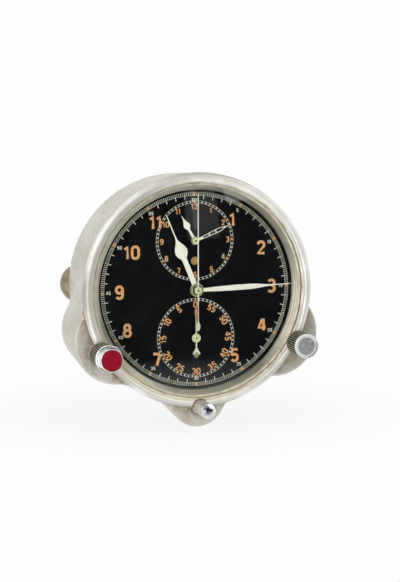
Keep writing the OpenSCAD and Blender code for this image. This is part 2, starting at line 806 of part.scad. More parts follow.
module centre_wheel() {
    color(brass) stand() {
        at([0, 0], 11.6) wheel(centre_m, centre_teeth, 90 - third_dir, 0.7, 0.8, 2.2, 5, 1.2);
        ring(1.2, 0.5, 9, 11.05);
        ring(centre_arbor_r, 0.5, 17.2, 9.05);
        at([0, 0], 20.05) pinion(barrel_m, centre_pinion_teeth, toward([0, 0], barrel_at), 2.3, 0.5);
    }
}

// A train wheel on its arbor, with its pinion at another level
module train_arbor(low, high) {
    at([0, 0], top_plate_z + 0.1)
        cylinder(r = pivot_r, h = main_plate_z + plate_t - top_plate_z - 0.2, $fn = 32);
    at([0, 0], low) cylinder(r = wheel_arbor_r, h = high - low, $fn = 32);
}

module third_wheel() {
    low = top_plate_z + plate_t + 0.1;
    color(brass) stand() at(third_at) {
        train_arbor(low, main_plate_z - 0.1);
        at([0, 0], 11.4) pinion(centre_m, third_pinion_teeth, toward(third_at, [0, 0]), 1.1, 0.001);
        at([0, 0], 14) wheel(third_m, third_teeth, toward(third_at, fourth_at), 0.5, 0.7, 1.5, 5, 0.001);
    }
}

module fourth_wheel() {
    low = top_plate_z + plate_t + 0.1;
    color(brass) stand() at(fourth_at) {
        train_arbor(low, main_plate_z - 0.1);
        at([0, 0], 13.8) pinion(third_m, fourth_pinion_teeth, toward(fourth_at, third_at), 0.9, 0.001);
        at([0, 0], 17) wheel(fourth_m, fourth_teeth, toward(fourth_at, escape_at), 0.5, 0.7, 1.4, 5, 0.001);
    }
}

module escape_wheel() {
    low = top_plate_z + plate_t + 0.1;
    teeth = 15;
    color(steel) stand() at(escape_at) {
        train_arbor(low, main_plate_z - 0.1);
        at([0, 0], 16.8) pinion(fourth_m, escape_pinion_teeth, toward(escape_at, fourth_at), 0.9, 0.001);
        at([0, 0], 14.4) linear_extrude(0.4) polygon([
            for (i = [0:teeth - 1]) let (a = i * 360 / teeth)
                for (k = [[0, escape_r - 1], [7, escape_r], [11, escape_r - 0.15], [12, escape_r - 1.1]])
                    k[1] * [cos(a + k[0]), sin(a + k[0])]
        ]);
    }
}

// Lever with two arms that stand just clear of the escape teeth, and a fork towards the balance
module pallet_fork() {
    low = top_plate_z + plate_t + 0.1;
    color(steel) stand() at(fork_at) {
        train_arbor(low, main_plate_z - 0.1);
        at([0, 0], 14.4) linear_extrude(0.4) {
            circle(r = 1);
            rotate(toward(fork_at, escape_at)) for (side = [-1, 1])
                polygon([[-0.5, 0], [0.5, 0], [2.3, 2.9 * side], [3.1, 3.2 * side], [2.8, 3.7 * side],
                    [1.7, 3.3 * side]]);
            rotate(toward(fork_at, balance_at))
                polygon([[0, -0.45], [4.6, -0.3], [5.1, -0.75], [5.9, -0.75], [5.9, -0.3], [5.2, 0],
                    [5.9, 0.3], [5.9, 0.75], [5.1, 0.75], [4.6, 0.3], [0, 0.45]]);
        }
    }
}

module balance_wheel() {
    low = top_plate_z + plate_t + 0.1;
    color(brass) stand() at(balance_at) {
        train_arbor(low, main_plate_z - 0.1);
        at([0, 0], 17.4) linear_extrude(0.9) {
            difference() {
                circle(r = balance_r);
                circle(r = balance_r - 0.8);
            }
            circle(r = 1.2);
            for (a = [20, 110]) rotate(a)
                translate([-balance_r + 0.4, -0.4]) square([2 * balance_r - 0.8, 0.8]);
        }
        at([0, 0], 15.3) cylinder(r = 1.3, h = 0.5);
    }
}

module hairspring() {
    color(steel) stand() at(balance_at, 19.4) {
        linear_extrude(0.3) polygon(spiral(1.2, 4.4, 6, 0.1, 96));
        difference() {
            cylinder(r = 1.3, h = 0.7);
            translate([0, 0, -1]) cylinder(r = 0.7, h = 3, $fn = 32);
        }
    }
}

module cannon_pinion() {
    color(steel) stand() {
        at([0, 0], motion_z)
            pinion(motion_m, cannon_teeth, 90 - steel_crown_angle, 0.9, centre_arbor_r + run);
        ring(1.45, centre_arbor_r + run, 6.4, motion_z + 0.85);
    }
}

module minute_wheel_at(place, hub_at) {
    at(place) {
        at([0, 0], motion_z)
            wheel(motion_m, minute_wheel_teeth, toward(place, hub_at), motion_t, 0.9, 1.6, 4,
                motion_stud_r + run);
        at([0, 0], motion_z + motion_t)
            pinion(hour_m, minute_pinion_teeth, toward(place, hub_at), 1.1, motion_stud_r + run);
    }
}

module minute_wheel() {
    color(brass) stand() minute_wheel_at(polar(minute_wheel_dist, steel_crown_angle), [0, 0]);
}

module hour_wheel() {
    pipe_top = dial_z + 2.3;
    color(brass) stand() {
        at([0, 0], pinion_level_z)
            wheel(hour_m, hour_wheel_teeth, 90 - steel_crown_angle, 0.7, 0.9, 2.6, 4, 1.5);
        ring(2, 1.5, pipe_top - pinion_level_z, pinion_level_z);
    }
}

module large_setting_wheel() {
    place = polar(large_setting_dist, steel_crown_angle);
    facing = toward(place, [0, 0]) + 180 / large_setting_teeth;
    color(steel) stand() at(place, motion_z)
        wheel(motion_m, large_setting_teeth, facing, motion_t, 1.2, 2.4, 4, motion_stud_r + run);
}

module small_setting_wheel() {
    place = polar(small_setting_dist, steel_crown_angle);
    color(steel) stand() at(place, motion_z)
        solid_wheel(motion_m, small_setting_teeth, toward(place, [0, 0]), motion_t, motion_stud_r + run);
}

// Slender arbor through the hollow centre arbor, with the seconds heart wheel and the finger
module stop_seconds_arbor() {
    color(steel) stand() {
        at([0, 0], counter_z - 0.4)
            cylinder(r = seconds_arbor_r, h = seconds_hand_top - counter_z + 0.4, $fn = 32);
        at([0, 0], 5.6) wheel(0.16, 90, 90, 0.4, 0.7, 1.4, 5, 0.3);
        at([0, 0], counter_z) linear_extrude(0.6) {
            circle(r = 1.2);
            polygon([[-0.4, 0], [-0.25, 3.3], [0.25, 3.3], [0.4, 0]]);
        }
    }
}

// Sixty-tooth wheel that the finger moves on, backwards, once a minute
module counter_wheel() {
    m = 2 * (counter_r - 0.4) / counter_teeth;
    color(brass) stand() at(lower_at) {
        at([0, 0], counter_z) wheel(m, counter_teeth, 90, 0.6, 1.1, 2, 5, 0.3);
        at([0, 0], counter_z - 0.4)
            cylinder(r = counter_hub_r, h = top_plate_z + plate_t - counter_z + 0.3, $fn = 32);
        at([0, 0], top_plate_z) cylinder(r = small_arbor_r, h = dial_z + 1.1 - top_plate_z, $fn = 32);
    }
}

module elapsed_cannon_pinion() {
    color(steel) stand() at(upper_at) {
        at([0, 0], motion_z) pinion(motion_m, cannon_teeth, 90 - elapsed_dir, 0.9, 0.3);
        at([0, 0], top_plate_z) cylinder(r = small_arbor_r, h = dial_z + 1.5 - top_plate_z, $fn = 32);
    }
}

module elapsed_minute_wheel() {
    color(brass) stand() minute_wheel_at(upper_at + polar(minute_wheel_dist, elapsed_dir), upper_at);
}

module elapsed_hour_wheel() {
    color(brass) stand() at(upper_at) {
        at([0, 0], pinion_level_z)
            wheel(hour_m, hour_wheel_teeth, 90 - elapsed_dir, 0.7, 0.9, 2.2, 4, small_arbor_r + run);
        ring(1.15, small_arbor_r + run, dial_z + 0.75 - pinion_level_z, pinion_level_z);
    }
}

// A hand cut from sheet: a hub with a hole, and the blade drawn pointing to 12
module hand(angle, z, t, hub, hole) {
    at([0, 0], z) rotate(-angle) linear_extrude(t) difference() {
        union() {
            circle(r = hub, $fn = 48);
            children();
        }
        circle(r = hole, $fn = 32);
    }
}

// Outline of a blade from half widths at distances along it: [distance, half width]
function blade(w) = concat(
    [for (k = w) [k[1], k[0]]],
    [for (i = [len(w) - 1:-1:0]) [-w[i][1], w[i][0]]]
);

module hour_hand() {
    color(cream) stand() hand(hour_angle, dial_z + 1.95, 0.35, 2.4, 2) polygon(blade([
        [0, 0.95], [12, 0.9], [12.5, 1.1], [13, 1.5], [13.6, 1.9], [14.3, 2.2], [15, 2.3], [15.8, 2.2],
        [16.6, 1.9], [17.4, 1.45], [18.2, 0.95], [19, 0.5], [19.8, 0.28], [21, 0.19],
        [hour_len - 0.3, 0.14], [hour_len, 0.05]
    ]));
}

module minute_hand() {
    color(cream) stand() hand(minute_angle, dial_z + 2.9, 0.35, 2.1, 1.45) polygon(blade([
        [0, 0.6], [3, 0.65], [8, 0.86], [13, 0.96], [19, 0.96], [21.5, 0.85], [23.5, 0.64], [25.5, 0.4],
        [27.5, 0.25], [29, 0.18], [minute_len - 0.3, 0.13], [minute_len, 0.05]
    ]));
}

module stop_seconds_hand() {
    low = seconds_hand_top - 0.6;
    color(cream) stand() {
        hand(0.6, low, 0.25, 1, seconds_arbor_r) polygon(blade([
            [-14.6, 0.1], [-14.2, 0.45], [-13.5, 0.75], [-12.6, 0.78], [-11.8, 0.5], [-11.1, 0.2], [-8, 0.16],
            [0, 0.2], [4, 0.18], [seconds_len - 0.3, 0.15], [seconds_len, 0.06]
        ]));
        ring(1.35, seconds_arbor_r, 0.6, low);
    }
}

module elapsed_hour_hand() {
    color(cream) stand() at(upper_at) hand(-28.6, dial_z + 0.4, 0.25, 1.45, 1.15) polygon(blade([
        [0, 0.5], [2.4, 0.5], [4.5, 0.42], [5, 0.62], [5.5, 1], [6.1, 1.2], [6.7, 1.14], [7.3, 0.85],
        [8.1, 0.48], [9, 0.22], [10.3, 0.06]
    ]));
}

// Skeleton hand: two thin rails that spread to a spearhead, with two rungs between them
module elapsed_minute_hand() {
    color(cream) stand() at(upper_at) hand(67.3, dial_z + 1.05, 0.25, 1.3, 0.6) difference() {
        polygon(blade([[0, 0.44], [3, 0.48], [9.4, 0.7], [10.2, 0.66], [12, 0.16], [14.2, 0.06]]));
        polygon(blade([[3, 0.3], [5.4, 0.38]]));
        polygon(blade([[5.75, 0.39], [8, 0.47]]));
        polygon(blade([[8.35, 0.48], [9.4, 0.52], [10.1, 0.48], [11.4, 0.12]]));
    }
}

module counter_hand() {
    color(cream) stand() at(lower_at) hand(0, dial_z + 0.6, 0.3, 1.6, 0.6) {
        polygon(blade([[0, 0.2], [6.3, 0.17], [8, 0.3], [9.2, 0.52], [10, 0.42], [10.6, 0.2], [11.4, 0.08]]));
        // Forked tail
        difference() {
            polygon(blade([[-5.9, 1.3], [-5.5, 1.35], [-4.4, 0.66], [-3.4, 0.2], [0, 0.2]]));
            polygon(blade([[-6.1, 1.1], [-4.75, 0.03]]));
        }
    }
}

// A sector that shows one colour or the other in its window
module flag(place, window, window_r) {
    shown = toward(place, window);
    flag_reach = norm(window - place) + window_r + flag_overlap;
    at(place, flag_z) linear_extrude(flag_t) difference() {
        union() {
            circle(r = 1.4, $fn = 32);
            polygon(concat(
                [[0, 0]],
                arc([0, 0], flag_reach, shown - 14, shown + 46, 12)
            ));
        }
        circle(r = motion_stud_r + run, $fn = 32);
    }
}

module upper_flag() {
    color(orange) stand() flag(upper_flag_at, upper_window, upper_window_r);
}

module lower_flag() {
    color(green) stand() flag(lower_flag_at, lower_window, lower_window_r);
}

case_body();
rear_cover();
rear_cover_screws();
rear_studs();
thumb_nuts();
bezel_ring();
bezel_pins();
flange_ring();
crystal();
crystal_gasket();
dial_surround();
dial_plate();
crown_tubes();
pusher_tube();
red_crown();
red_crown_cap();
red_crown_disc();
winding_stem();
steel_crown();
setting_stem();
setting_sleeve();
pusher();
pusher_spring();
operating_rocker();
main_plate();
top_plate();
pillars();
pillar_screws();
case_screws();
barrel();
mainspring();
barrel_arbor();
ratchet_wheel();
winding_wheel();
centre_wheel();
third_wheel();
fourth_wheel();
escape_wheel();
pallet_fork();
balance_wheel();
hairspring();
cannon_pinion();
minute_wheel();
hour_wheel();
large_setting_wheel();
small_setting_wheel();
stop_seconds_arbor();
counter_wheel();
elapsed_cannon_pinion();
elapsed_minute_wheel();
elapsed_hour_wheel();
hour_hand();
minute_hand();
stop_seconds_hand();
elapsed_hour_hand();
elapsed_minute_hand();
counter_hand();
upper_flag();
lower_flag();
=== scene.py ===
import json
from math import asin, cos, degrees, hypot, radians, sin

import bpy
from mathutils import Matrix, Vector

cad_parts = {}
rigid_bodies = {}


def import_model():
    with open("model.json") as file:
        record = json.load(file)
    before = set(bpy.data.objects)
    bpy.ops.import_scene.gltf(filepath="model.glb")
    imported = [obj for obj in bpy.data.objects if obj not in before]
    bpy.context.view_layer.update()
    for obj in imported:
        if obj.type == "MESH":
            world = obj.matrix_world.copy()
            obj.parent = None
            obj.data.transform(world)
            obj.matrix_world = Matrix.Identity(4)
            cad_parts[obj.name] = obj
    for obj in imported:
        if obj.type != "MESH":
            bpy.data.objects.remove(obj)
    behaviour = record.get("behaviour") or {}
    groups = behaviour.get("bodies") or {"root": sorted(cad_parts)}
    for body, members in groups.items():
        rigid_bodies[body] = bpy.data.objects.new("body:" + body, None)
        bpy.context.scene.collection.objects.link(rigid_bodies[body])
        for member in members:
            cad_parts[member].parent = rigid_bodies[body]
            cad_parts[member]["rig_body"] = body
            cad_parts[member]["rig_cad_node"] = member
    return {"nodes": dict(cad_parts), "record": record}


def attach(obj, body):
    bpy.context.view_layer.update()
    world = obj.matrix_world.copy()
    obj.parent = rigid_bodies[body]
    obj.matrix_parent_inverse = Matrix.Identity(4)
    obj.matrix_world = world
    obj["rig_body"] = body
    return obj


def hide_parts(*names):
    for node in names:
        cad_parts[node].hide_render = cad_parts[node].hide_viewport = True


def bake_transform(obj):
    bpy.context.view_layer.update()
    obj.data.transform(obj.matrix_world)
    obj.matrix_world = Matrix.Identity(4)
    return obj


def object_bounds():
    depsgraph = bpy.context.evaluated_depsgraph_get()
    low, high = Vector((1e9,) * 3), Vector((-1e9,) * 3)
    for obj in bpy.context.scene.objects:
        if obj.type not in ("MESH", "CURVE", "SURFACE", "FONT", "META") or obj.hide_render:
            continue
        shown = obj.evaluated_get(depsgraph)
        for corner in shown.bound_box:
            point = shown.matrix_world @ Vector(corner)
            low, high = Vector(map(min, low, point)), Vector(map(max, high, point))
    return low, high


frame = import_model()
cad_low, cad_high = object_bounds()


# The case: a light alloy casting with lobes for the controls, machined on its front ledge.
# The rough skin is lightly pitted, and its edges are painted bright, partly as rubbed wear and partly as a
# painted highlight.
# Brown stains gather round the controls and along the bezel.
MM = 0.001
DEEP = (1, 0.3, 1)
MERGE = 1e-6
FLAT = radians(0.5)
ROUNDED = radians(28)
SMOOTH = radians(32)
RED_AT = (-36.373, -21.0)
STEEL_AT = (36.734, -20.362)
PUSHER_AT = (0.1, -41.9)
RIGHT_LOBE = (44, -22)
BEZEL_R = 42.15
FRONT_Z = 29.5


def only(piece):
    """Leaves nothing but this piece selected, and makes it the active one."""
    bpy.ops.object.select_all(action="DESELECT")
    piece.select_set(True)
    bpy.context.view_layer.objects.active = piece


def copied(node, name, soften=0.0, steps=2):
    """A copy of a node as a piece of its own, its loose faces joined and its edges rounded by soften mm."""
    only(frame["nodes"][node])
    bpy.ops.object.duplicate()
    piece = bpy.context.object
    piece.name = name
    piece.parent = None
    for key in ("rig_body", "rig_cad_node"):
        del piece[key]
    bpy.ops.object.mode_set(mode="EDIT")
    bpy.ops.mesh.select_all(action="SELECT")
    bpy.ops.mesh.remove_doubles(threshold=MERGE)
    bpy.ops.mesh.dissolve_limited(angle_limit=FLAT)
    bpy.ops.object.mode_set(mode="OBJECT")
    if soften:
        edge = piece.modifiers.new("soften", "BEVEL")
        edge.width = soften * MM
        edge.segments = steps
        edge.limit_method = "ANGLE"
        edge.angle_limit = ROUNDED
        bpy.ops.object.modifier_apply(modifier="soften")
    bpy.ops.object.shade_smooth_by_angle(angle=SMOOTH)
    return piece


def fitted(piece, body, slot, finish, *nodes):
    """Puts a piece on its body, in its finish and in place of the nodes it stands for."""
    piece.data.materials.clear()
    piece.data.materials.append(finish)
    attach(piece, body)
    if nodes:
        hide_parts(*nodes)
    return piece


def new_finish(name, colour, metal, rough):
    """A material with its Principled shader set, its node tree and the shader."""
    finish = bpy.data.materials.new(name)
    finish.use_nodes = True
    tree = finish.node_tree
    shader = tree.nodes["Principled BSDF"]
    shader.inputs["Base Color"].default_value = (*colour, 1)
    shader.inputs["Metallic"].default_value = metal
    shader.inputs["Roughness"].default_value = rough
    return finish, tree, shader


def where(tree, stretch=(1, 1, 1), centre=(0, 0, 0)):
    """The place on the piece, in metres from centre, stretched along each axis."""
    coords = tree.nodes.new("ShaderNodeTexCoord")
    mapping = tree.nodes.new("ShaderNodeMapping")
    mapping.inputs["Location"].default_value = [-c * s for c, s in zip(centre, stretch)]
    mapping.inputs["Scale"].default_value = stretch
    tree.links.new(coords.outputs["Object"], mapping.inputs["Vector"])
    return mapping.outputs["Vector"]


def grain(tree, size, detail, stretch=(1, 1, 1)):
    """Noise whose lumps are about size millimetres across."""
    noise = tree.nodes.new("ShaderNodeTexNoise")
    noise.inputs["Scale"].default_value = 1 / (size * MM)
    noise.inputs["Detail"].default_value = detail
    tree.links.new(where(tree, stretch), noise.inputs["Vector"])
    return noise.outputs["Fac"]


def ramp(tree, factor, *stops):
    """A colour for each stop (place, colour), blended between them."""
    node = tree.nodes.new("ShaderNodeValToRGB")
    points = node.color_ramp.elements
    while len(points) < len(stops):
        points.new(0.5)
    for point, (place, colour) in zip(points, stops):
        point.position = place
        point.color = (*colour, 1)
    tree.links.new(factor, node.inputs["Fac"])
    return node.outputs["Color"]


def grey(tree, factor, low, high, start=0.3, end=0.7):
    """A number that goes from low to high as factor goes from start to end."""
    node = tree.nodes.new("ShaderNodeMapRange")
    for name, value in (("From Min", start), ("From Max", end), ("To Min", low), ("To Max", high)):
        node.inputs[name].default_value = value
    tree.links.new(factor, node.inputs["Value"])
    return node.outputs["Result"]


def blend(tree, factor, under, over):
    """One colour laid over another, by factor."""
    node = tree.nodes.new("ShaderNodeMix")
    node.data_type = "RGBA"
    for socket, value in ((node.inputs[0], factor), (node.inputs[6], under), (node.inputs[7], over)):
        if isinstance(value, bpy.types.NodeSocket):
            tree.links.new(value, socket)
        elif isinstance(value, tuple):
            socket.default_value = (*value, 1)
        else:
            socket.default_value = value
    return node.outputs[2]


def worn_edges(tree, reach):
    """A mask that is 1 on the edges: where the normal of a rounded edge leaves the true one."""
    rounded = tree.nodes.new("ShaderNodeBevel")
    rounded.samples = 6
    rounded.inputs["Radius"].default_value = reach * MM
    true = tree.nodes.new("ShaderNodeNewGeometry")
    match = tree.nodes.new("ShaderNodeVectorMath")
    match.operation = "DOT_PRODUCT"
    tree.links.new(rounded.outputs["Normal"], match.inputs[0])
    tree.links.new(true.outputs["Normal"], match.inputs[1])
    return grey(tree, match.outputs["Value"], 1, 0, 0.75, 0.98)


def relief(tree, shader, height, depth, strength=1.0):
    """Bump of the given depth in millimetres."""
    node = tree.nodes.new("ShaderNodeBump")
    node.inputs["Strength"].default_value = strength
    node.inputs["Distance"].default_value = depth * MM
    tree.links.new(height, node.inputs["Height"])
    tree.links.new(node.outputs["Normal"], shader.inputs["Normal"])


def from_axis(tree, centre=(0, 0)):
    """Distance from an axis of the clock, in millimetres."""
    apart = tree.nodes.new("ShaderNodeVectorMath")
    apart.operation = "LENGTH"
    place = where(tree, (1 / MM, 0, 1 / MM), (centre[0] * MM, 0, centre[1] * MM))
    tree.links.new(place, apart.inputs[0])
    return apart.outputs["Value"]


def times(tree, first, second):
    """The product of two masks."""
    node = tree.nodes.new("ShaderNodeMath")
    node.operation = "MULTIPLY"
    tree.links.new(first, node.inputs[0])
    tree.links.new(second, node.inputs[1])
    return node.outputs["Value"]


def below(tree, height, soft=0.03):
    """A mask that is 1 lower on the clock than a height in millimetres."""
    parts = tree.nodes.new("ShaderNodeSeparateXYZ")
    tree.links.new(where(tree), parts.inputs[0])
    return grey(tree, parts.outputs["Y"], 0, 1, -(height + soft) * MM, -(height - soft) * MM)


cast_alloy, tree, shader = new_finish("cast_alloy", (0.66, 0.63, 0.57), 0.4, 0.52)
lumps = grain(tree, 10, 5, DEEP)
skin = ramp(tree, lumps, (0.30, (0.57, 0.54, 0.465)), (0.50, (0.66, 0.635, 0.565)),
            (0.72, (0.74, 0.73, 0.665)))
fleck = grey(tree, grain(tree, 0.8, 4, DEEP), 0, 0.42, 0.48, 0.68)
skin = blend(tree, fleck, skin, (0.42, 0.385, 0.30))
# Painted shade: the right lobe is painted darker, as shade.
painted_shade_lobe = grey(tree, from_axis(tree, RIGHT_LOBE), 0.35, 0, 8, 16)
skin = blend(tree, painted_shade_lobe, skin, (0.44, 0.42, 0.34))
from_middle = from_axis(tree)
in_front = grey(tree, below(tree, FRONT_Z, 0.8), 1, 0, 0, 1)
near_bezel = times(tree, grey(tree, from_middle, 0, 1, BEZEL_R - 0.1, BEZEL_R),
                   grey(tree, from_middle, 1, 0, BEZEL_R + 0.05, BEZEL_R + 4.35))
near_bezel = times(tree, in_front, near_bezel)
stain = times(tree, near_bezel, grey(tree, grain(tree, 3, 5), 0.1, 0.9, 0.42, 0.58))
skin = blend(tree, stain, skin, (0.36, 0.27, 0.17))
against = times(tree, grey(tree, from_middle, 0, 1, BEZEL_R - 0.13, BEZEL_R - 0.05),
                grey(tree, from_middle, 1, 0, BEZEL_R + 0.15, BEZEL_R + 0.55))
against = times(tree, times(tree, in_front, against), grey(tree, grain(tree, 4, 5), 0.2, 0.9, 0.4, 0.6))
skin = blend(tree, against, skin, (0.22, 0.16, 0.09))
for place, reach in ((RED_AT, 9), (STEEL_AT, 8), (PUSHER_AT, 8)):
    stained = times(tree, in_front, grey(tree, from_axis(tree, place), 0.8, 0, 3.5, reach))
    blotch = times(tree, stained, grey(tree, grain(tree, 2.2, 5, DEEP), 0, 1, 0.42, 0.6))
    skin = blend(tree, blotch, skin, (0.38, 0.33, 0.22))
# Painted highlight and wear: the edges are painted near-white, partly as rubbed wear and partly as a painted
# highlight.
tree.links.new(blend(tree, worn_edges(tree, 0.55), skin, (0.92, 0.92, 0.90)), shader.inputs["Base Color"])
tree.links.new(grey(tree, grain(tree, 4, 5, DEEP), 0.46, 0.56), shader.inputs["Roughness"])
relief(tree, shader, grain(tree, 0.8, 4, DEEP), 0.015, 0.2)

cast_case = copied("case_body", "cast_case", 0.3)
fitted(cast_case, "case", "case_aluminium", cast_alloy, "case_body")


# The back: a turned alloy cover with its screws, and two steel studs with knurled brass nuts.
# The cover is brushed in rings, and the nuts have gone brown.
BACK_RINGS = 900
STEEL = ((0.44, 0.43, 0.42), (0.66, 0.66, 0.65))


def mottled(name, colour, metal, rough, size, dark, light, detail=5, light_at=0.7):
    """A material mottled from dark to light, in lumps size millimetres across."""
    finish, tree, shader = new_finish(name, colour, metal, rough)
    mottle = ramp(tree, grain(tree, size, detail), (0.3, dark), (light_at, light))
    tree.links.new(mottle, shader.inputs["Base Color"])
    return finish, tree, shader


turned_alloy, tree, shader = mottled("turned_alloy", (0.66, 0.64, 0.60), 0.9, 0.35,
                                     6, (0.52, 0.49, 0.43), (0.72, 0.70, 0.66))
rings = tree.nodes.new("ShaderNodeTexWave")
rings.wave_type = "RINGS"
rings.rings_direction = "Y"
rings.inputs["Scale"].default_value = BACK_RINGS
rings.inputs["Distortion"].default_value = 0.6
tree.links.new(where(tree), rings.inputs["Vector"])
relief(tree, shader, rings.outputs["Fac"], 0.01, 0.6)
back_cover = copied("rear_cover", "back_cover", 0.15)
fitted(back_cover, "case", "case_aluminium", turned_alloy, "rear_cover")

plain_steel, tree, shader = mottled("plain_steel", (0.60, 0.60, 0.59), 1.0, 0.32, 1.2, *STEEL, detail=4)
tree.links.new(grey(tree, grain(tree, 0.5, 3), 0.25, 0.45), shader.inputs["Roughness"])
back_screws = copied("rear_cover_screws", "back_screws", 0.08)
fitted(back_screws, "case", "steel", plain_steel, "rear_cover_screws")
back_studs = copied("rear_studs", "back_studs", 0.08)
fitted(back_studs, "case", "steel", plain_steel, "rear_studs")

brown_brass, tree, shader = new_finish("brown_brass", (0.30, 0.22, 0.13), 0.9, 0.45)
patina = ramp(tree, grain(tree, 2.5, 6), (0.3, (0.16, 0.12, 0.08)), (0.55, (0.33, 0.26, 0.17)),
              (0.8, (0.48, 0.40, 0.26)))
tree.links.new(blend(tree, worn_edges(tree, 0.25), patina, (0.62, 0.54, 0.38)), shader.inputs["Base Color"])
relief(tree, shader, grain(tree, 0.4, 4), 0.03, 0.6)
back_nuts = copied("thumb_nuts", "back_nuts", 0.1)
fitted(back_nuts, "case", "aged_brass", brown_brass, "thumb_nuts")


# The bezel: a rolled ring of plated brass, polished and worn, pressed on the front ledge.
# It is cut away round the controls, and dirt has settled against its inner lip. Its roll carries painted
# shade on its outer part and a painted highlight on its inner part.
STAND = Matrix.Rotation(radians(90), 4, "X")
ROUND = 240
TINY_R = 1e-4
CUT = 0.04
LEDGE_Z = 31.2
CREST_Z = 34.3
LIP_Z = 33.65
ROLL = 1.5
BORE_R = 38.1
SEAT_R = 39.2
SEAT_Z = 31.7
RING_R = 40
HOUR = 30
NOTCHES = ((RED_AT, 2.9), (STEEL_AT, 2.9), ((0, -42), 3.1))


def turned(name, profile, segments, closed=True):
    """A piece turned from its profile of (radius, height) in millimetres, on the clock's axis."""
    radius, height = profile[0]
    bpy.ops.object.select_all(action="DESELECT")
    bpy.ops.mesh.primitive_circle_add(vertices=segments, radius=radius * MM, location=(0, 0, height * MM))
    piece = bpy.context.object
    piece.name = name
    bpy.ops.object.transform_apply(location=True, rotation=True, scale=True)
    bpy.ops.object.mode_set(mode="EDIT")
    bpy.ops.mesh.select_all(action="SELECT")
    for new_radius, new_height in profile[1:]:
        new_radius = max(new_radius, TINY_R)
        bpy.ops.mesh.extrude_edges_move(
            TRANSFORM_OT_translate={"value": (0, 0, (new_height - height) * MM)})
        scale = new_radius / radius
        bpy.ops.transform.resize(value=(scale, scale, 1), center_override=(0, 0, new_height * MM))
        radius, height = new_radius, new_height
    if closed:
        bpy.ops.mesh.select_all(action="SELECT")
        bpy.ops.mesh.region_to_loop()
        bpy.ops.mesh.bridge_edge_loops()
    bpy.ops.mesh.select_all(action="SELECT")
    bpy.ops.mesh.remove_doubles(threshold=MERGE)
    bpy.ops.mesh.normals_make_consistent(inside=False)
    bpy.ops.object.mode_set(mode="OBJECT")
    return piece


def stood(piece, angle=SMOOTH):
    """Stands a turned piece up in the clock and smooths it."""
    piece.data.transform(STAND)
    only(piece)
    bpy.ops.object.shade_smooth_by_angle(angle=angle)


def bow(centre, radius, start, end, steps=8):
    """Points of an arc about centre, or of a stretched one where radius is a pair."""
    across, up = radius if isinstance(radius, tuple) else (radius, radius)
    turns = [radians(start + (end - start) * i / steps) for i in range(steps + 1)]
    return [(centre[0] + across * cos(t), centre[1] + up * sin(t)) for t in turns]


def notched(piece, place, radius):
    """Cuts a round notch through a stood piece, along the clock's axis."""
    bpy.ops.object.select_all(action="DESELECT")
    bpy.ops.mesh.primitive_cylinder_add(vertices=48, radius=radius * MM, depth=CUT)
    cutter = bpy.context.object
    cutter.data.transform(STAND @ Matrix.Translation((place[0] * MM, place[1] * MM, CUT)))
    only(piece)
    cut = piece.modifiers.new("notch", "BOOLEAN")
    cut.operation = "DIFFERENCE"
    cut.object = cutter
    bpy.ops.object.modifier_apply(modifier="notch")
    bpy.data.objects.remove(cutter)


def at_clock(radius, angle, centre=(0, 0)):
    """The place at a radius and a clock angle, from 12, about a centre."""
    return (centre[0] + radius * sin(radians(angle)), centre[1] + radius * cos(radians(angle)))


def by_hour(tree, hour, reach, strength=1.0):
    """A mask that is strength near the ring's place at an hour, and fades out at reach millimetres."""
    return grey(tree, from_axis(tree, at_clock(RING_R, HOUR * hour)), strength, 0, reach * 0.3, reach)


def to_upper_left(tree):
    """A mask that grows from 0 at the clock's lower right to 1 at its upper left."""
    along = tree.nodes.new("ShaderNodeVectorMath")
    along.operation = "DOT_PRODUCT"
    along.inputs[1].default_value = (-0.85, 0, 0.5)
    tree.links.new(where(tree, (25, 25, 25)), along.inputs[0])
    return grey(tree, along.outputs["Value"], 0, 1, -0.9, 0.9)


WAVE_SCALE = 0.314


def streaks(tree, period, wander):
    """Concentric rings about the clock's axis, a period in millimetres apart, that wander."""
    node = tree.nodes.new("ShaderNodeTexWave")
    node.wave_type = "RINGS"
    node.rings_direction = "Y"
    node.inputs["Scale"].default_value = WAVE_SCALE / (period * MM)
    node.inputs["Distortion"].default_value = wander
    node.inputs["Detail"].default_value = 4
    node.inputs["Detail Scale"].default_value = 0.3
    tree.links.new(where(tree), node.inputs["Vector"])
    return node.outputs["Fac"]


side = [(BORE_R, LEDGE_Z), (BEZEL_R - 0.15, LEDGE_Z), (BEZEL_R, LEDGE_Z + 0.12), (BEZEL_R, CREST_Z - 2.2)]
roll = bow((BEZEL_R - ROLL, CREST_Z - ROLL), ROLL, 8, 128, 14)
lip = [(SEAT_R - 0.05, LIP_Z + 0.42), (SEAT_R - 0.5, LIP_Z + 0.2), (SEAT_R - 0.7, LIP_Z + 0.02)]
seat = [(SEAT_R, LIP_Z), (SEAT_R, SEAT_Z), (BORE_R - 0.05, SEAT_Z), (BORE_R - 0.05, LEDGE_Z + 0.05)]
bezel = turned("bezel", side + roll + lip + seat, ROUND)
stood(bezel)
for place, radius in NOTCHES:
    notched(bezel, place, radius)
only(bezel)
bpy.ops.object.shade_smooth_by_angle(angle=SMOOTH)

plate_wear_and_painted_light, tree, shader = new_finish("plate_wear_and_painted_light", (0.82, 0.80, 0.75), 0.3, 0.42)
plate = ramp(tree, grain(tree, 9, 5), (0.3, (0.82, 0.80, 0.73)), (0.6, (0.95, 0.94, 0.90)))
from_middle = from_axis(tree)
# Painted shade: the outer part of the roll is darkened towards the upper left.
painted_shade_side = times(tree, grey(tree, from_middle, 0.75, 0, 39.9, 41.2), to_upper_left(tree))
plate = blend(tree, painted_shade_side, plate, (0.42, 0.41, 0.36))
outside = grey(tree, from_middle, 0, 1, 40.7, 41.5)
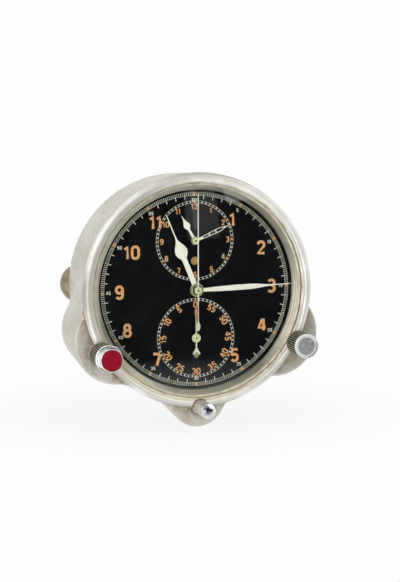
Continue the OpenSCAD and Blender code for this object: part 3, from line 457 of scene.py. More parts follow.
# Painted shade: dark patches on the outer part of the roll at several hours, standing in for dark
# reflections.
for hour, reach in ((12, 30), (6.1, 22), (4.2, 14), (9, 12), (7.5, 8)):
    plate = blend(tree, times(tree, outside, by_hour(tree, hour, reach, 0.85)), plate, (0.36, 0.35, 0.31))
# Painted highlight: the inner part of the roll is lightened near the top right, and made less metallic there.
inside = grey(tree, from_middle, 1, 0, 40.2, 41.0)
painted_highlight = times(tree, inside, by_hour(tree, 0.7, 36))
plate = blend(tree, painted_highlight, plate, (1.0, 0.98, 0.92))
lower_lip = times(tree, grey(tree, from_middle, 0.7, 0, 39.3, 40.4), by_hour(tree, 6, 62))
plate = blend(tree, lower_lip, plate, (0.72, 0.65, 0.46))
dirty = grey(tree, grain(tree, 5, 5), 0.15, 0.9, 0.38, 0.62)
dirt = times(tree, grey(tree, from_middle, 1, 0, SEAT_R - 0.35, SEAT_R + 0.1), dirty)
plate = blend(tree, dirt, plate, (0.34, 0.29, 0.17))
scratched = times(tree, streaks(tree, 0.6, 6), grey(tree, grain(tree, 7, 5), 0, 0.5, 0.42, 0.6))
plate = blend(tree, scratched, plate, (0.50, 0.46, 0.34))
dirty = grey(tree, grain(tree, 6, 5), 0.25, 0.85, 0.35, 0.65)
at_foot = times(tree, below(tree, LEDGE_Z + 0.5, 0.15), dirty)
tree.links.new(blend(tree, at_foot, plate, (0.20, 0.15, 0.09)), shader.inputs["Base Color"])
tree.links.new(grey(tree, grain(tree, 6, 4), 0.36, 0.48), shader.inputs["Roughness"])
tree.links.new(grey(tree, painted_highlight, 0.3, 0), shader.inputs["Metallic"])
fitted(bezel, "case", "polished_nickel", plate_wear_and_painted_light, "bezel_ring")

pins = copied("bezel_pins", "ledge_pins")
golden, tree, shader = mottled("golden", (0.80, 0.60, 0.36), 1.0, 0.3,
                               0.8, (0.66, 0.46, 0.24), (0.88, 0.72, 0.50), detail=3)
fitted(pins, "case", "polished_nickel", golden, "bezel_pins")


# The flange ring: a bright turned ring under the glass, which slopes up from the dial's edge.
# Its face is painted lighter towards the upper left, with patches of painted shade and painted highlight
# round the ring, and shows the tool's fine rings.
FLANGE_TOP = 32.6
flange_profile = ([(37.45, 29.5), (37.45, 31.9), (38.9, 31.9), (38.9, FLANGE_TOP), (38.3, FLANGE_TOP),
                   (37.7, FLANGE_TOP - 0.38), (36.9, FLANGE_TOP - 1.08), (36.25, FLANGE_TOP - 1.7),
                   (35.98, 30.55), (35.9, 30.35), (35.9, 29.5)])
flange = turned("flange", flange_profile, ROUND)
stood(flange)
flange_painted_light, tree, shader = new_finish("flange_painted_light", (0.42, 0.41, 0.37), 0.4, 0.55)
patch = grain(tree, 6, 5)
# Painted light and shade: a dark and a light tone of the face, blended lighter towards the upper left.
dull = ramp(tree, patch, (0.3, (0.24, 0.235, 0.20)), (0.7, (0.34, 0.335, 0.30)))
light = ramp(tree, patch, (0.3, (0.62, 0.59, 0.50)), (0.7, (0.80, 0.78, 0.70)))
painted_light_slope = blend(tree, to_upper_left(tree), dull, light)
# Painted shade: dark patches round the ring.
for hour, reach in ((1, 26), (5, 16), (8.3, 8)):
    painted_light_slope = blend(tree, by_hour(tree, hour, reach, 0.65), painted_light_slope, (0.17, 0.165, 0.13))
# Painted highlight: bright patches round the ring.
for hour, reach in ((3.5, 24), (7.2, 14), (10, 22)):
    painted_light_slope = blend(tree, by_hour(tree, hour, reach), painted_light_slope, (0.93, 0.89, 0.74))
scored = times(tree, streaks(tree, 0.7, 5), grey(tree, patch, 0.25, 0.75))
painted_light_slope = blend(tree, scored, painted_light_slope, (0.32, 0.27, 0.13))
land = ramp(tree, grain(tree, 3, 5), (0.3, (0.62, 0.55, 0.36)), (0.65, (0.95, 0.90, 0.70)))
on_land = grey(tree, from_axis(tree), 0, 1, 37.3, 37.9)
tree.links.new(blend(tree, on_land, painted_light_slope, land), shader.inputs["Base Color"])
tree.links.new(grey(tree, grain(tree, 2.5, 5), 0.48, 0.62), shader.inputs["Roughness"])
fitted(flange, "case", "polished_nickel", flange_painted_light, "flange_ring")


# The glass: a domed crystal with a flat foot, turned from its profile.
# The bezel's lip holds it down on a thin rubber gasket that has gone brown.
DIAL_Z = 28.7
GLASS_Z = 32.8
GLASS_EDGE = 0.8
GLASS_R = 38.7
GLASS_T = 1.0
GLASS_TOP = DIAL_Z + 8.8
FOOT_R = 39.15
rise = GLASS_TOP - GLASS_Z - GLASS_EDGE
ball = (GLASS_R ** 2 + rise ** 2) / (2 * rise)
heart = (0, GLASS_TOP - ball)
outer = degrees(asin(GLASS_R / ball))
inner = degrees(asin((GLASS_R - 0.6) / (ball - GLASS_T)))
dome = bow(heart, ball, 90, 90 - outer, 24)
hollow = bow(heart, ball - GLASS_T, 90 - inner, 90, 24)
foot = [(FOOT_R, GLASS_Z + GLASS_EDGE), (FOOT_R, GLASS_Z), (BORE_R, GLASS_Z)]
domed_glass = turned("domed_glass", dome + foot + hollow, 128, closed=False)
stood(domed_glass, radians(40))

clear_glass, tree, shader = new_finish("clear_glass", (0.985, 0.99, 0.985), 0.0, 0.015)
shader.inputs["Transmission Weight"].default_value = 1.0
shader.inputs["IOR"].default_value = 1.46
path = tree.nodes.new("ShaderNodeLightPath")
through = tree.nodes.new("ShaderNodeBsdfTransparent")
through.inputs["Color"].default_value = (0.97, 0.98, 0.97, 1)
either = tree.nodes.new("ShaderNodeMixShader")
tree.links.new(path.outputs["Is Shadow Ray"], either.inputs[0])
tree.links.new(shader.outputs[0], either.inputs[1])
tree.links.new(through.outputs[0], either.inputs[2])
tree.links.new(either.outputs[0], tree.nodes["Material Output"].inputs["Surface"])
fitted(domed_glass, "case", "glass", clear_glass, "crystal")

old_rubber, tree, shader = mottled("old_rubber", (0.30, 0.26, 0.16), 0.0, 0.7,
                                   2.5, (0.14, 0.115, 0.06), (0.62, 0.56, 0.38))
relief(tree, shader, grain(tree, 0.3, 3), 0.02)
fitted(frame["nodes"]["crystal_gasket"], "case", "rubber", old_rubber)


# The dial: a black plate with a surround, printed with tracks and plain numerals.
# The numerals are low beads of orange lume, and the tracks and small numbers are pale print.
LUME = "lume_cream"
black_paint, tree, shader = new_finish("black_paint", (0.004, 0.005, 0.006), 0.0, 0.35)
shader.inputs["Specular IOR Level"].default_value = 0.06
soot = ramp(tree, grain(tree, 6, 6), (0.35, (0.0022, 0.0026, 0.0032)), (0.7, (0.006, 0.007, 0.0078)))
tree.links.new(soot, shader.inputs["Base Color"])
for node in ("dial_plate", "dial_surround"):
    fitted(frame["nodes"][node], "case", "dial_black", black_paint)

# Centre lines of the numerals, for strokes 1 mm wide in a numeral 5.2 mm high: (points, closed)
STROKES = {
    "0": [(bow((0, 0.9), 1.2, 0, 180) + bow((0, -0.9), 1.2, 180, 360), True)],
    "1": [([(-0.8, 1.25), (0.25, 2.1), (0.25, -2.1)], False)],
    "2": [(bow((0, 0.93), 1.17, 170, -30) + [(-1.2, -2.1), (1.25, -2.1)], False)],
    "3": [(bow((0, 1.05), (1.15, 1.05), 150, -60) + [(0.05, 0.05)]
           + bow((0, -0.98), (1.2, 1.12), 60, -150), False)],
    "4": [([(0.1, 2.1), (-1.3, -1.05), (1.3, -1.05)], False), ([(0.5, 2.1), (0.6, -2.1)], False)],
    "5": [([(1.15, 2.1), (-0.85, 2.1), (-0.95, 0.3)] + bow((0, -0.85), (1.2, 1.25), 130, -150), False)],
    "6": [(bow((0, -0.95), 1.17, 0, 360, 16), True),
          ([(-1.17, -0.95), (-1.17, 0.95)] + bow((0, 0.95), 1.17, 180, 30), False)],
    "7": [([(-1.2, 2.1), (0.8, 2.1), (1.1, 1.75), (0.95, 0.7), (0.45, -0.6), (0.1, -2.1)], False)],
    "8": [(bow((0, 1.12), (1.0, 0.98), 0, 360, 16), True), (bow((0, -0.98), (1.2, 1.12), 0, 360, 16), True)],
    "9": [(bow((0, 0.95), 1.17, 0, 360, 16), True),
          ([(1.17, 0.95), (1.17, -0.95)] + bow((0, -0.95), 1.17, 0, -150), False)],
}
NUMERAL_H = 5.2
ADVANCE = 3.75
NARROW = {"1": 2.55}


def swung(point, turn, pivot=(0, 0)):
    """A point after a turn in degrees about a pivot."""
    across, up = point[0] - pivot[0], point[1] - pivot[1]
    return (pivot[0] + across * cos(radians(turn)) - up * sin(radians(turn)),
            pivot[1] + across * sin(radians(turn)) + up * cos(radians(turn)))


def lettered(text, height, middle, turn=0):
    """Strokes of a number of the given height, centred on middle and turned by turn degrees."""
    scale = height / NUMERAL_H
    widths = [NARROW.get(digit, ADVANCE) for digit in text]
    left = -sum(widths) / 2
    found = []
    for digit, width in zip(text, widths):
        shift = left + width / 2
        left += width
        for points, closed in STROKES[digit]:
            line = []
            for x, y in points:
                across, up = swung(((x + shift) * scale, y * scale), turn)
                line.append((middle[0] + across, middle[1] + up))
            found.append((line, closed))
    return found


def filled(name, strokes, width, rise, finish, smooth=2):
    """Strokes laid on the dial as low rounded beads of paint."""
    bpy.ops.object.select_all(action="DESELECT")
    bpy.ops.curve.primitive_nurbs_path_add()
    piece = bpy.context.object
    piece.name = name
    bead = piece.data
    bead.splines.clear()
    for points, closed in strokes:
        spline = bead.splines.new("POLY")
        spline.points.add(len(points) - 1)
        for point, (x, y) in zip(spline.points, points):
            point.co = (x * MM, y * MM, 0, 1)
        spline.use_cyclic_u = closed
    bead.dimensions = "3D"
    bead.bevel_depth = width / 2 * MM
    bead.bevel_resolution = smooth
    bead.use_fill_caps = True
    bpy.ops.object.convert(target="MESH")
    piece = bpy.context.object
    flatten = Matrix.Diagonal((1, 1, 2 * rise / width, 1))
    piece.data.transform(STAND @ Matrix.Translation((0, 0, DIAL_Z * MM)) @ flatten)
    bpy.ops.object.shade_smooth_by_angle(angle=radians(50))
    fitted(piece, "case", LUME, finish)


orange_lume, tree, shader = new_finish("orange_lume", (0.78, 0.36, 0.12), 0.0, 0.6)
crumbs = grain(tree, 0.9, 5)
orange = ramp(tree, crumbs, (0.3, (0.68, 0.31, 0.10)), (0.55, (0.85, 0.43, 0.165)), (0.8, (0.92, 0.58, 0.29)))
tree.links.new(orange, shader.inputs["Base Color"])
relief(tree, shader, grain(tree, 0.25, 4), 0.03, 0.6)
pale_print, tree, shader = mottled("pale_print", (0.60, 0.70, 0.50), 0.0, 0.55,
                                   2.5, (0.62, 0.74, 0.48), (0.98, 1.0, 0.86))
white_print, tree, shader = mottled("white_print", (0.72, 0.75, 0.66), 0.0, 0.55,
                                    2.0, (0.70, 0.78, 0.62), (1.0, 1.0, 0.92))

UPPER = (0, 17.5)
LOWER = (0, -17.5)
MINUTE = 6
UPRIGHT = (0, 5, 10, 15, 45, 50, 55)
HOUR_PLACES = {"1": (14.1, 24.4), "2": (24.75, 14.1), "3": (28.5, 0.05), "4": (24.9, -13.9),
               "5": (14.4, -24.5), "7": (-14.6, -24.7), "8": (-25.3, -13.7), "9": (-28.0, 0.05),
               "10": (-23.2, 14.05), "11": (-14.3, 24.4)}
strokes = [s for text, place in HOUR_PLACES.items() for s in lettered(text, NUMERAL_H, place)]
filled("hour_numerals", strokes, 1.0, 0.09, orange_lume, 3)
strokes = [s for hour in range(1, 13) for s in lettered(str(hour), 2.15, at_clock(12.2, HOUR * hour, UPPER))]
filled("elapsed_numerals", strokes, 0.42, 0.05, orange_lume)
strokes = []
for minute in range(0, 60, 5):
    angle = -MINUTE * minute
    turn = -angle if minute in UPRIGHT else 180 - angle
    strokes += lettered(str(minute), 2.4, at_clock(12.05, angle, LOWER), turn)
filled("counter_numerals", strokes, 0.46, 0.05, orange_lume)
strokes = []
for minute in range(5, 65, 5):
    strokes += lettered(str(minute), 1.3, at_clock(32.05, MINUTE * minute))
filled("minute_numerals", strokes, 0.22, 0.03, white_print, 1)


SUNK = 0.02


def track(name, centre, rails, marks, finish, rise=0.03):
    """A printed track: thin rings (radius, width), and marks (count, from, to, width, first) round them."""
    low = (DIAL_Z - SUNK) * MM
    high = (rise + SUNK) * MM
    bpy.ops.object.select_all(action="DESELECT")
    parts = []
    for radius, width in rails:
        inner = radius - width / 2
        bpy.ops.mesh.primitive_circle_add(vertices=180, radius=inner * MM, location=(0, 0, low))
        part = bpy.context.object
        bpy.ops.object.transform_apply(location=True, rotation=True, scale=True)
        bpy.ops.object.mode_set(mode="EDIT")
        bpy.ops.mesh.select_all(action="SELECT")
        bpy.ops.mesh.extrude_edges_move()
        grow = (inner + width) / inner
        bpy.ops.transform.resize(value=(grow, grow, 1), center_override=(0, 0, low))
        bpy.ops.mesh.select_all(action="SELECT")
        bpy.ops.mesh.extrude_region_move(TRANSFORM_OT_translate={"value": (0, 0, high)})
        bpy.ops.mesh.select_all(action="SELECT")
        bpy.ops.mesh.normals_make_consistent(inside=False)
        bpy.ops.object.mode_set(mode="OBJECT")
        parts.append(part)
    for count, near, far, width, first in marks:
        bpy.ops.mesh.primitive_cube_add(size=1, location=(0, (near + far) / 2 * MM, low + high / 2))
        part = bpy.context.object
        part.scale = (width * MM, (far - near) * MM, high)
        bpy.ops.object.transform_apply(location=True, rotation=True, scale=True)
        part.data.transform(Matrix.Rotation(radians(-first), 4, "Z"))
        bpy.ops.object.mode_set(mode="EDIT")
        bpy.ops.mesh.select_all(action="SELECT")
        bpy.ops.mesh.spin(steps=count - 1, dupli=True, angle=radians(360 * (count - 1) / count),
                          center=(0, 0, 0), axis=(0, 0, 1))
        bpy.ops.object.mode_set(mode="OBJECT")
        parts.append(part)
    bpy.ops.object.select_all(action="DESELECT")
    for part in parts:
        part.select_set(True)
    bpy.context.view_layer.objects.active = parts[0]
    bpy.ops.object.join()
    piece = bpy.context.object
    piece.name = name
    piece.data.transform(STAND @ Matrix.Translation((centre[0] * MM, centre[1] * MM, 0)))
    fitted(piece, "case", LUME, finish)


OVER_PRINT = 0.05
MIDDLE = (0, 0)
rungs = [(300, 33.65, 34.75, 0.17, 0)]
rungs += [(12, 32.45, 34.8, 0.27, MINUTE * first) for first in (1, 2, 3, 4)]
track("minute_track", MIDDLE, ((33.65, 0.08), (34.75, 0.08)), rungs, pale_print)
track("five_minute_marks", MIDDLE, (), ((12, 33.55, 34.85, 0.75, 0),), orange_lume, OVER_PRINT)
for name, centre in (("elapsed", UPPER), ("counter", LOWER)):
    track(name + "_track", centre, ((13.5, 0.07), (14.3, 0.07)), ((60, 13.45, 14.35, 0.32, 0),), white_print)
    track(name + "_marks", centre, (), ((12, 13.4, 14.4, 0.55, 0),), orange_lume, OVER_PRINT)


# The hands: stamped from sheet and filled with cream lume, on hubs that have turned yellow-green.
# Painted shadow rings show where one hub stands on the next, and the counter's pointer has an orange tip.
HUB_DULL = (0.40, 0.48, 0.24)
HUB_LIGHT = (0.86, 0.98, 0.52)
HUB_SHADE = (0.03, 0.035, 0.01)
CREAM_DARK = (0.93, 0.91, 0.74)
CREAM_LIGHT = (1.0, 0.99, 0.88)


def along_dial(tree, low, high):
    """A mask that goes from 0 to 1 between two heights on the dial, in millimetres."""
    parts = tree.nodes.new("ShaderNodeSeparateXYZ")
    tree.links.new(where(tree), parts.inputs[0])
    return grey(tree, parts.outputs["Z"], 0, 1, low * MM, high * MM)


def band(tree, distance, near, far, soft=0.05):
    """A mask that is 1 between two distances."""
    inside = grey(tree, distance, 0, 1, near - soft, near + soft)
    return times(tree, inside, grey(tree, distance, 1, 0, far - soft, far + soft))


def hand_finish(name, centre, hub_r, eye_r=0.0, shadow_rings=(), tints=()):
    """Cream lume, tinted parts (low, high, colour), a greenish hub with painted shadow rings and a dark eye.
    """
    finish, tree, shader = new_finish(name, CREAM_LIGHT, 0.0, 0.5)
    colour = ramp(tree, grain(tree, 1.6, 5), (0.3, CREAM_DARK), (0.7, CREAM_LIGHT))
    for low, high, tint in tints:
        colour = blend(tree, along_dial(tree, low, high), colour, tint)
    distance = from_axis(tree, centre)
    hub = blend(tree, grey(tree, grain(tree, 0.5, 4), 0, 1), HUB_DULL, HUB_LIGHT)
    colour = blend(tree, grey(tree, distance, 1, 0, hub_r - 0.1, hub_r + 0.15), colour, hub)
    # Painted shadow: dark rings where a hub stands over the one below.
    for near, far in shadow_rings:
        colour = blend(tree, band(tree, distance, near, far), colour, HUB_SHADE)
    if eye_r:
        colour = blend(tree, grey(tree, distance, 1, 0, eye_r - 0.05, eye_r + 0.05), colour, HUB_SHADE)
    tree.links.new(colour, shader.inputs["Base Color"])
    relief(tree, shader, grain(tree, 0.3, 4), 0.02, 0.5)
    return finish


PALE_GREEN = (0.62, 0.70, 0.40)
TIP_BROWN = (0.66, 0.26, 0.10)
hour_lume = hand_finish("hour_lume", MIDDLE, 2.45, shadow_rings=((1.95, 2.22),))
minute_lume = hand_finish("minute_lume", MIDDLE, 2.2, shadow_rings=((1.05, 1.95),))
seconds_lume = hand_finish("seconds_lume", MIDDLE, 1.4, 0.42, tints=((-3, -6, PALE_GREEN),))
upper_lume = hand_finish("upper_lume", UPPER, 1.5, 0.2, ((1.24, 1.34),))
tints = ((-24, -13, PALE_GREEN), (-11.6, -10.4, TIP_BROWN))
lower_lume = hand_finish("lower_lume", LOWER, 1.65, 0.2, tints=tints)
for node, name, body, finish in (
        ("hour_hand", "hour_pointer", "hour_work", hour_lume),
        ("minute_hand", "minute_pointer", "minute_work", minute_lume),
        ("stop_seconds_hand", "stop_seconds_pointer", "stop_seconds", seconds_lume),
        ("elapsed_hour_hand", "elapsed_hour_pointer", "elapsed_hour_work", upper_lume),
        ("elapsed_minute_hand", "elapsed_minute_pointer", "elapsed_minute_work", upper_lume),
        ("counter_hand", "counter_pointer", "minute_counter", lower_lume)):
    fitted(copied(node, name, 0.06), body, LUME, finish, node)


# The flags behind the dial's two windows: painted sheet, orange above and green below at rest.
# A turn on its pivot brings a flag's red side under the window. The lower one is painted near-black over its
# left part, as shade.
FLAG_TURN = 32
SIDE = 1.76
ORANGE = ((0.95, 0.50, 0.10), (1.0, 0.66, 0.20))
GREEN = ((0.42, 0.50, 0.20), (0.62, 0.70, 0.34))
for node, name, slot, pivot, window, (dark, light) in (
        ("upper_flag", "orange_flag", "flag_orange", (6.5, 10.4), (0, 10.2), ORANGE),
        ("lower_flag", "green_flag", "flag_green", (5.5, -20.6), (0, -23.7), GREEN)):
    finish, tree, shader = new_finish(name + "_paint", light, 0.0, 0.5)
    blotches = grain(tree, 1.2, 5)
    colour = ramp(tree, blotches, (0.3, dark), (0.7, light))
    if node == "lower_flag":
        parts = tree.nodes.new("ShaderNodeSeparateXYZ")
        tree.links.new(where(tree), parts.inputs[0])
        # Painted shade: the lower flag's left part is painted near-black.
        painted_shade_left = grey(tree, parts.outputs["X"], 1, 0, -0.3 * MM, -0.1 * MM)
        colour = blend(tree, painted_shade_left, colour, (0.03, 0.012, 0.008))
    red = ramp(tree, blotches, (0.3, (0.38, 0.02, 0.012)), (0.7, (0.55, 0.04, 0.02)))
    from_red = from_axis(tree, swung(window, FLAG_TURN, pivot))
    on_red = grey(tree, from_red, 1, 0, SIDE - 0.02, SIDE + 0.02)
    tree.links.new(blend(tree, on_red, colour, red), shader.inputs["Base Color"])
    fitted(copied(node, name, 0.04), node, slot, finish, node)


# The controls: a steel crown with a raised rim, a red-topped crown with a bright flange, and a domed pusher.
# The grooves of the crowns' knurling are painted near-black as shade and made matt like dirt, and the ridges
# are rubbed bright.
# The pusher stands on a spring that shortens as it goes in; the copy here keeps its rest length.
RIM_R = 3.95


def knurled_steel(name, centre, radius, top, crest, face_r=0.0):
    """Worn steel: dark grooves between the crests of the knurling up to top, and a face inside face_r."""
    finish, tree, shader = new_finish(name, (0.60, 0.59, 0.56), 0.45, 0.34)
    bare = ramp(tree, grain(tree, 1.5, 5), (0.3, (0.76, 0.76, 0.73)), (0.7, (0.97, 0.97, 0.95)))
    apart = from_axis(tree, centre)
    dull, bright = (tuple(share * part for part in crest) for share in (0.7, 1.3))
    ridges = blend(tree, grey(tree, grain(tree, 2, 4), 0, 1), dull, bright)
    in_groove = grey(tree, apart, 1, 0, radius - 0.1, radius - 0.04)
    # Painted shade: the grooves between the crests are painted near-black.
    sides = blend(tree, in_groove, ridges, (0.010, 0.008, 0.004))
    colour = blend(tree, below(tree, top), bare, sides)
    if face_r:
        face = ramp(tree, grain(tree, 1.2, 5), (0.3, (0.31, 0.35, 0.33)), (0.7, (0.60, 0.64, 0.62)))
        # Painted light: the rim and the groove inside it are painted near-white, on the groove against its
        # shade.
        colour = blend(tree, band(tree, apart, face_r, RIM_R), colour, (1.0, 1.0, 0.98))
        # Painted shadow: a dark arc along the lower right of the rim.
        lower_right = grey(tree, from_axis(tree, (centre[0] + 3.5, centre[1] - 2.5)), 1, 0, 3.0, 4.2)
        painted_shadow_arc = times(tree, lower_right, band(tree, apart, RIM_R - 0.2, RIM_R + 0.03, 0.03))
        colour = blend(tree, painted_shadow_arc, colour, (0.12, 0.12, 0.11))
        colour = blend(tree, grey(tree, apart, 1, 0, face_r - 0.05, face_r + 0.05), colour, face)
    tree.links.new(colour, shader.inputs["Base Color"])
    dirty = times(tree, below(tree, top), in_groove)
    tree.links.new(grey(tree, dirty, 0.45, 0, 0, 1), shader.inputs["Metallic"])
    tree.links.new(grey(tree, dirty, 0.34, 0.9, 0, 1), shader.inputs["Roughness"])
    return finish


red_skirt = copied("red_crown", "red_skirt", 0.03, 1)
skirt_steel = knurled_steel("skirt_steel", RED_AT, 4.7, 45, (0.96, 0.87, 0.67))
fitted(red_skirt, "winding_crown", "steel", skirt_steel, "red_crown")

steel_knob = copied("steel_crown", "steel_knob", 0.03, 1)
GROOVE_R = (3.35, 3.85)
GROOVE_Z = (44.0, 44.4)
GROOVE_FILL = 0.3
bpy.ops.object.mode_set(mode="EDIT")
bpy.ops.mesh.select_all(action="DESELECT")
bpy.ops.object.mode_set(mode="OBJECT")
for corner in steel_knob.data.vertices:
    apart = hypot(corner.co.x / MM - STEEL_AT[0], corner.co.z / MM - STEEL_AT[1])
    corner.select = GROOVE_R[0] < apart < GROOVE_R[1] and GROOVE_Z[0] < -corner.co.y / MM < GROOVE_Z[1]
bpy.ops.object.mode_set(mode="EDIT")
bpy.ops.transform.translate(value=(0, -GROOVE_FILL * MM, 0))
bpy.ops.object.mode_set(mode="OBJECT")
knob_steel = knurled_steel("knob_steel", STEEL_AT, 4.65, 44.2, (1.0, 0.89, 0.63), 3.15)
fitted(steel_knob, "setting_crown", "steel", knob_steel, "steel_crown")

CHROME = ((0.66, 0.66, 0.65), (0.84, 0.84, 0.83))
chrome, tree, shader = mottled("chrome", (0.80, 0.80, 0.79), 1.0, 0.08, 2.5, *CHROME, light_at=0.6)
tree.links.new(grey(tree, grain(tree, 1.0, 5), 0.05, 0.16), shader.inputs["Roughness"])
red_flange = copied("red_crown_cap", "red_flange", 0.08)
fitted(red_flange, "winding_crown", "polished_nickel", chrome, "red_crown_cap")
red_enamel, tree, shader = mottled("red_enamel", (0.27, 0.005, 0.016), 0.0, 0.4,
                                   2.0, (0.25, 0.004, 0.013), (0.36, 0.006, 0.022), detail=6)
shader.inputs["Specular IOR Level"].default_value = 0.12
relief(tree, shader, grain(tree, 0.6, 4), 0.01, 0.4)
red_top = copied("red_crown_disc", "red_top", 0.08)
fitted(red_top, "winding_crown", "red_enamel", red_enamel, "red_crown_disc")

BUTTON_TOP = 43.85
button_steel, tree, shader = new_finish("button_steel", (0.80, 0.80, 0.79), 1.0, 0.08)
on_side = below(tree, BUTTON_TOP)
side = ramp(tree, grain(tree, 1.5, 5), (0.3, (0.50, 0.46, 0.38)), (0.7, (0.80, 0.77, 0.70)))
dome = ramp(tree, grain(tree, 2.5, 5), (0.3, CHROME[0]), (0.6, CHROME[1]))
# Painted reflection: the dome's upper left is painted dark blue-grey, as a reflection of dark surroundings.
painted_dark_reflection = grey(tree, from_axis(tree, (PUSHER_AT[0] - 0.9, PUSHER_AT[1] + 0.7)), 0.9, 0, 1.3, 2.3)
dome = blend(tree, painted_dark_reflection, dome, (0.20, 0.21, 0.26))
tree.links.new(blend(tree, on_side, dome, side), shader.inputs["Base Color"])
tree.links.new(grey(tree, on_side, 1, 0.45, 0, 1), shader.inputs["Metallic"])
tree.links.new(grey(tree, on_side, 0.1, 0.4, 0, 1), shader.inputs["Roughness"])
push_button = copied("pusher", "push_button", 0.05)
fitted(push_button, "pusher", "polished_nickel", button_steel, "pusher")

return_spring = copied("pusher_spring", "return_spring")
return_spring.data.materials.clear()
return_spring.data.materials.append(plain_steel)
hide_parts("pusher_spring")
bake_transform(return_spring)
for node, body, slot, finish in (
        ("crown_tubes", "case", "polished_nickel", plate_wear_and_painted_light),
        ("pusher_tube", "case", "polished_nickel", plate_wear_and_painted_light),
        ("winding_stem", "winding_crown", "steel", plain_steel),
        ("setting_stem", "setting_crown", "steel", plain_steel)):
    fitted(frame["nodes"][node], body, slot, finish)


# The movement: brass plates, pillars and wheels with steel arbors, springs and screws.
# The ends of the three arbors that carry hands have turned yellow-green like the hubs.
def movement_metal(name, dark, light, centre=None):
    """A mottled metal; with a centre, its end above the dial is green with a dark middle."""
    finish, tree, shader = new_finish(name, light, 1.0, 0.3)
    colour = ramp(tree, grain(tree, 1.5, 5), (0.3, dark), (0.7, light))
    if centre:
        below_dial = below(tree, DIAL_Z)
        eye = grey(tree, from_axis(tree, centre), 1, 0, 0.35, 0.45)
        colour = blend(tree, below_dial, blend(tree, eye, HUB_LIGHT, HUB_SHADE), colour)
        tree.links.new(below_dial, shader.inputs["Metallic"])
    tree.links.new(colour, shader.inputs["Base Color"])
    relief(tree, shader, grain(tree, 0.12, 3), 0.01, 0.5)
    return finish


BRASS = ((0.50, 0.35, 0.13), (0.70, 0.53, 0.25))
finishes = {"brass": movement_metal("movement_brass", *BRASS), "steel": plain_steel}
ends = {"stop_seconds_arbor": movement_metal("seconds_arbor_steel", *STEEL, MIDDLE),
        "elapsed_cannon_pinion": movement_metal("elapsed_arbor_steel", *STEEL, UPPER),
        "counter_wheel": movement_metal("counter_arbor_brass", *BRASS, LOWER)}
slots = {row["node"]: row["material_slot"] for row in frame["record"]["subparts"]}
for body, members in frame["record"]["behaviour"]["bodies"].items():
    for node in members:
        piece = frame["nodes"][node]
        if slots[node] in finishes and not piece.hide_render:
            fitted(piece, body, slots[node], ends.get(node, finishes[slots[node]]))


# The studio: a pale floor that fades out into white surroundings, dark only in front, and soft lamps.
# The dark part in front is what the polished glass and metal reflect, so the dial stays black.
UNDER = 0.0002
FLOOR_LIT = 0.83
FADE = (40, 100)
SURROUND = 0.46
WHITE = 0.985
DARK_WAY = (0.274, -0.954, -0.122)
floor_z = cad_low.z - UNDER
bpy.ops.object.select_all(action="DESELECT")
bpy.ops.mesh.primitive_plane_add(size=4, location=(0, 0, floor_z))
floor = bpy.context.object
floor.name = "floor"
bpy.ops.object.transform_apply(location=True, rotation=True, scale=True)
pale_floor, tree, shader = new_finish("pale_floor", (0.92, 0.92, 0.92), 0.0, 0.9)
shader.inputs["Specular IOR Level"].default_value = 0.0
lit = tree.nodes.new("ShaderNodeEmission")
lit.inputs["Color"].default_value = (1, 1, 1, 1)
shaded = tree.nodes.new("ShaderNodeMixShader")
shaded.inputs[0].default_value = FLOOR_LIT
tree.links.new(shader.outputs[0], shaded.inputs[1])
tree.links.new(lit.outputs[0], shaded.inputs[2])
gone = tree.nodes.new("ShaderNodeBsdfTransparent")
faded = tree.nodes.new("ShaderNodeMixShader")
apart = tree.nodes.new("ShaderNodeVectorMath")
apart.operation = "LENGTH"
tree.links.new(where(tree, (1 / MM, 1 / MM, 0)), apart.inputs[0])
tree.links.new(grey(tree, apart.outputs["Value"], 0, 1, *FADE), faded.inputs[0])
tree.links.new(shaded.outputs[0], faded.inputs[1])
tree.links.new(gone.outputs[0], faded.inputs[2])
tree.links.new(faded.outputs[0], tree.nodes["Material Output"].inputs["Surface"])
floor.data.materials.append(pale_floor)

world = bpy.data.worlds.new("studio")
world.use_nodes = True
bpy.context.scene.world = world
tree = world.node_tree
light = tree.nodes["Background"]
light.inputs["Color"].default_value = (1, 1, 1, 1)
light.inputs["Strength"].default_value = SURROUND
seen = tree.nodes.new("ShaderNodeBackground")
seen.inputs["Color"].default_value = (1, 1, 1, 1)
seen.inputs["Strength"].default_value = WHITE
mirrored = tree.nodes.new("ShaderNodeBackground")
towards = tree.nodes.new("ShaderNodeVectorMath")
towards.operation = "DOT_PRODUCT"
towards.inputs[1].default_value = Vector(DARK_WAY).normalized()
ray = tree.nodes.new("ShaderNodeTexCoord")
tree.links.new(ray.outputs["Generated"], towards.inputs[0])
around = ramp(tree, towards.outputs["Value"], (cos(radians(44)), (1, 1, 1)),
              (cos(radians(36)), (0.25, 0.25, 0.27)), (cos(radians(28)), (0.02, 0.02, 0.024)))
tree.links.new(around, mirrored.inputs["Color"])
path = tree.nodes.new("ShaderNodeLightPath")
polished = tree.nodes.new("ShaderNodeMath")
polished.operation = "MAXIMUM"
tree.links.new(path.outputs["Is Glossy Ray"], polished.inputs[0])
tree.links.new(path.outputs["Is Transmission Ray"], polished.inputs[1])
shown = tree.nodes.new("ShaderNodeMixShader")
tree.links.new(polished.outputs["Value"], shown.inputs[0])
tree.links.new(light.outputs[0], shown.inputs[1])
tree.links.new(mirrored.outputs[0], shown.inputs[2])
either = tree.nodes.new("ShaderNodeMixShader")
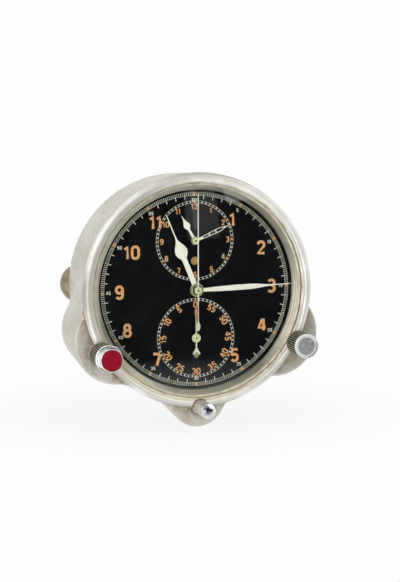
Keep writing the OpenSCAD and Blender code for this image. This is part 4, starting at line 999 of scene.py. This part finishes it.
tree.links.new(path.outputs["Is Camera Ray"], either.inputs[0])
tree.links.new(shown.outputs[0], either.inputs[1])
tree.links.new(seen.outputs[0], either.inputs[2])
tree.links.new(either.outputs[0], tree.nodes["World Output"].inputs["Surface"])

AIM = Vector((0, -0.015, 0))
LAMPS = (
    ("key", (0.75, -0.8, 0.75), 1.0, 1.0, 4.6),
    ("low", (-0.55, -1.0, -0.3), 0.8, 0.8, 3.9),
    ("fill", (-1.0, -0.55, 0.5), 0.8, 0.8, 3.3),
    ("top", (-0.1, 0.1, 1.1), 0.8, 0.8, 1.8),
    ("pane", (0.335, -1.125, 0.24), 0.17, 0.26, 0.045),
    ("pane_bar", (0.30, -1.135, 0.26), 0.025, 0.2, 0.01))
for name, place, across, tall, watts in LAMPS:
    data = bpy.data.lights.new(name, "AREA")
    data.shape = "RECTANGLE"
    data.size = across
    data.size_y = tall
    data.energy = watts
    source = bpy.data.objects.new(name, data)
    bpy.context.scene.collection.objects.link(source)
    source.location = place
    source.rotation_euler = (AIM - Vector(place)).to_track_quat("-Z", "Y").to_euler()


# The camera: above and to the left of the clock's axis, as the photograph was taken.
# Its place and focal length were fitted to the dial's track and the case's outlines.
PHOTO_W, PHOTO_H = 400, 582
FOCAL_PIXELS = 2720
SENSOR = 36
CAMERA_AT = (-0.268117, -0.957038, 0.119967)
YAW, PITCH, ROLL_TURN = 0.2830, 0.1242, 0.0106
turn = Matrix.Rotation(ROLL_TURN, 3, "Z") @ Matrix.Rotation(PITCH, 3, "X") @ Matrix.Rotation(YAW, 3, "Y")
camera_data = bpy.data.cameras.new("camera")
camera_data.sensor_width = SENSOR
camera_data.lens = FOCAL_PIXELS * SENSOR / max(PHOTO_W, PHOTO_H)
camera = bpy.data.objects.new("camera", camera_data)
bpy.context.scene.collection.objects.link(camera)
camera.matrix_world = Matrix.Translation(CAMERA_AT) @ (STAND.to_3x3() @ turn.transposed()).to_4x4()
bpy.context.scene.camera = camera
bpy.context.scene.view_settings.view_transform = "Standard"
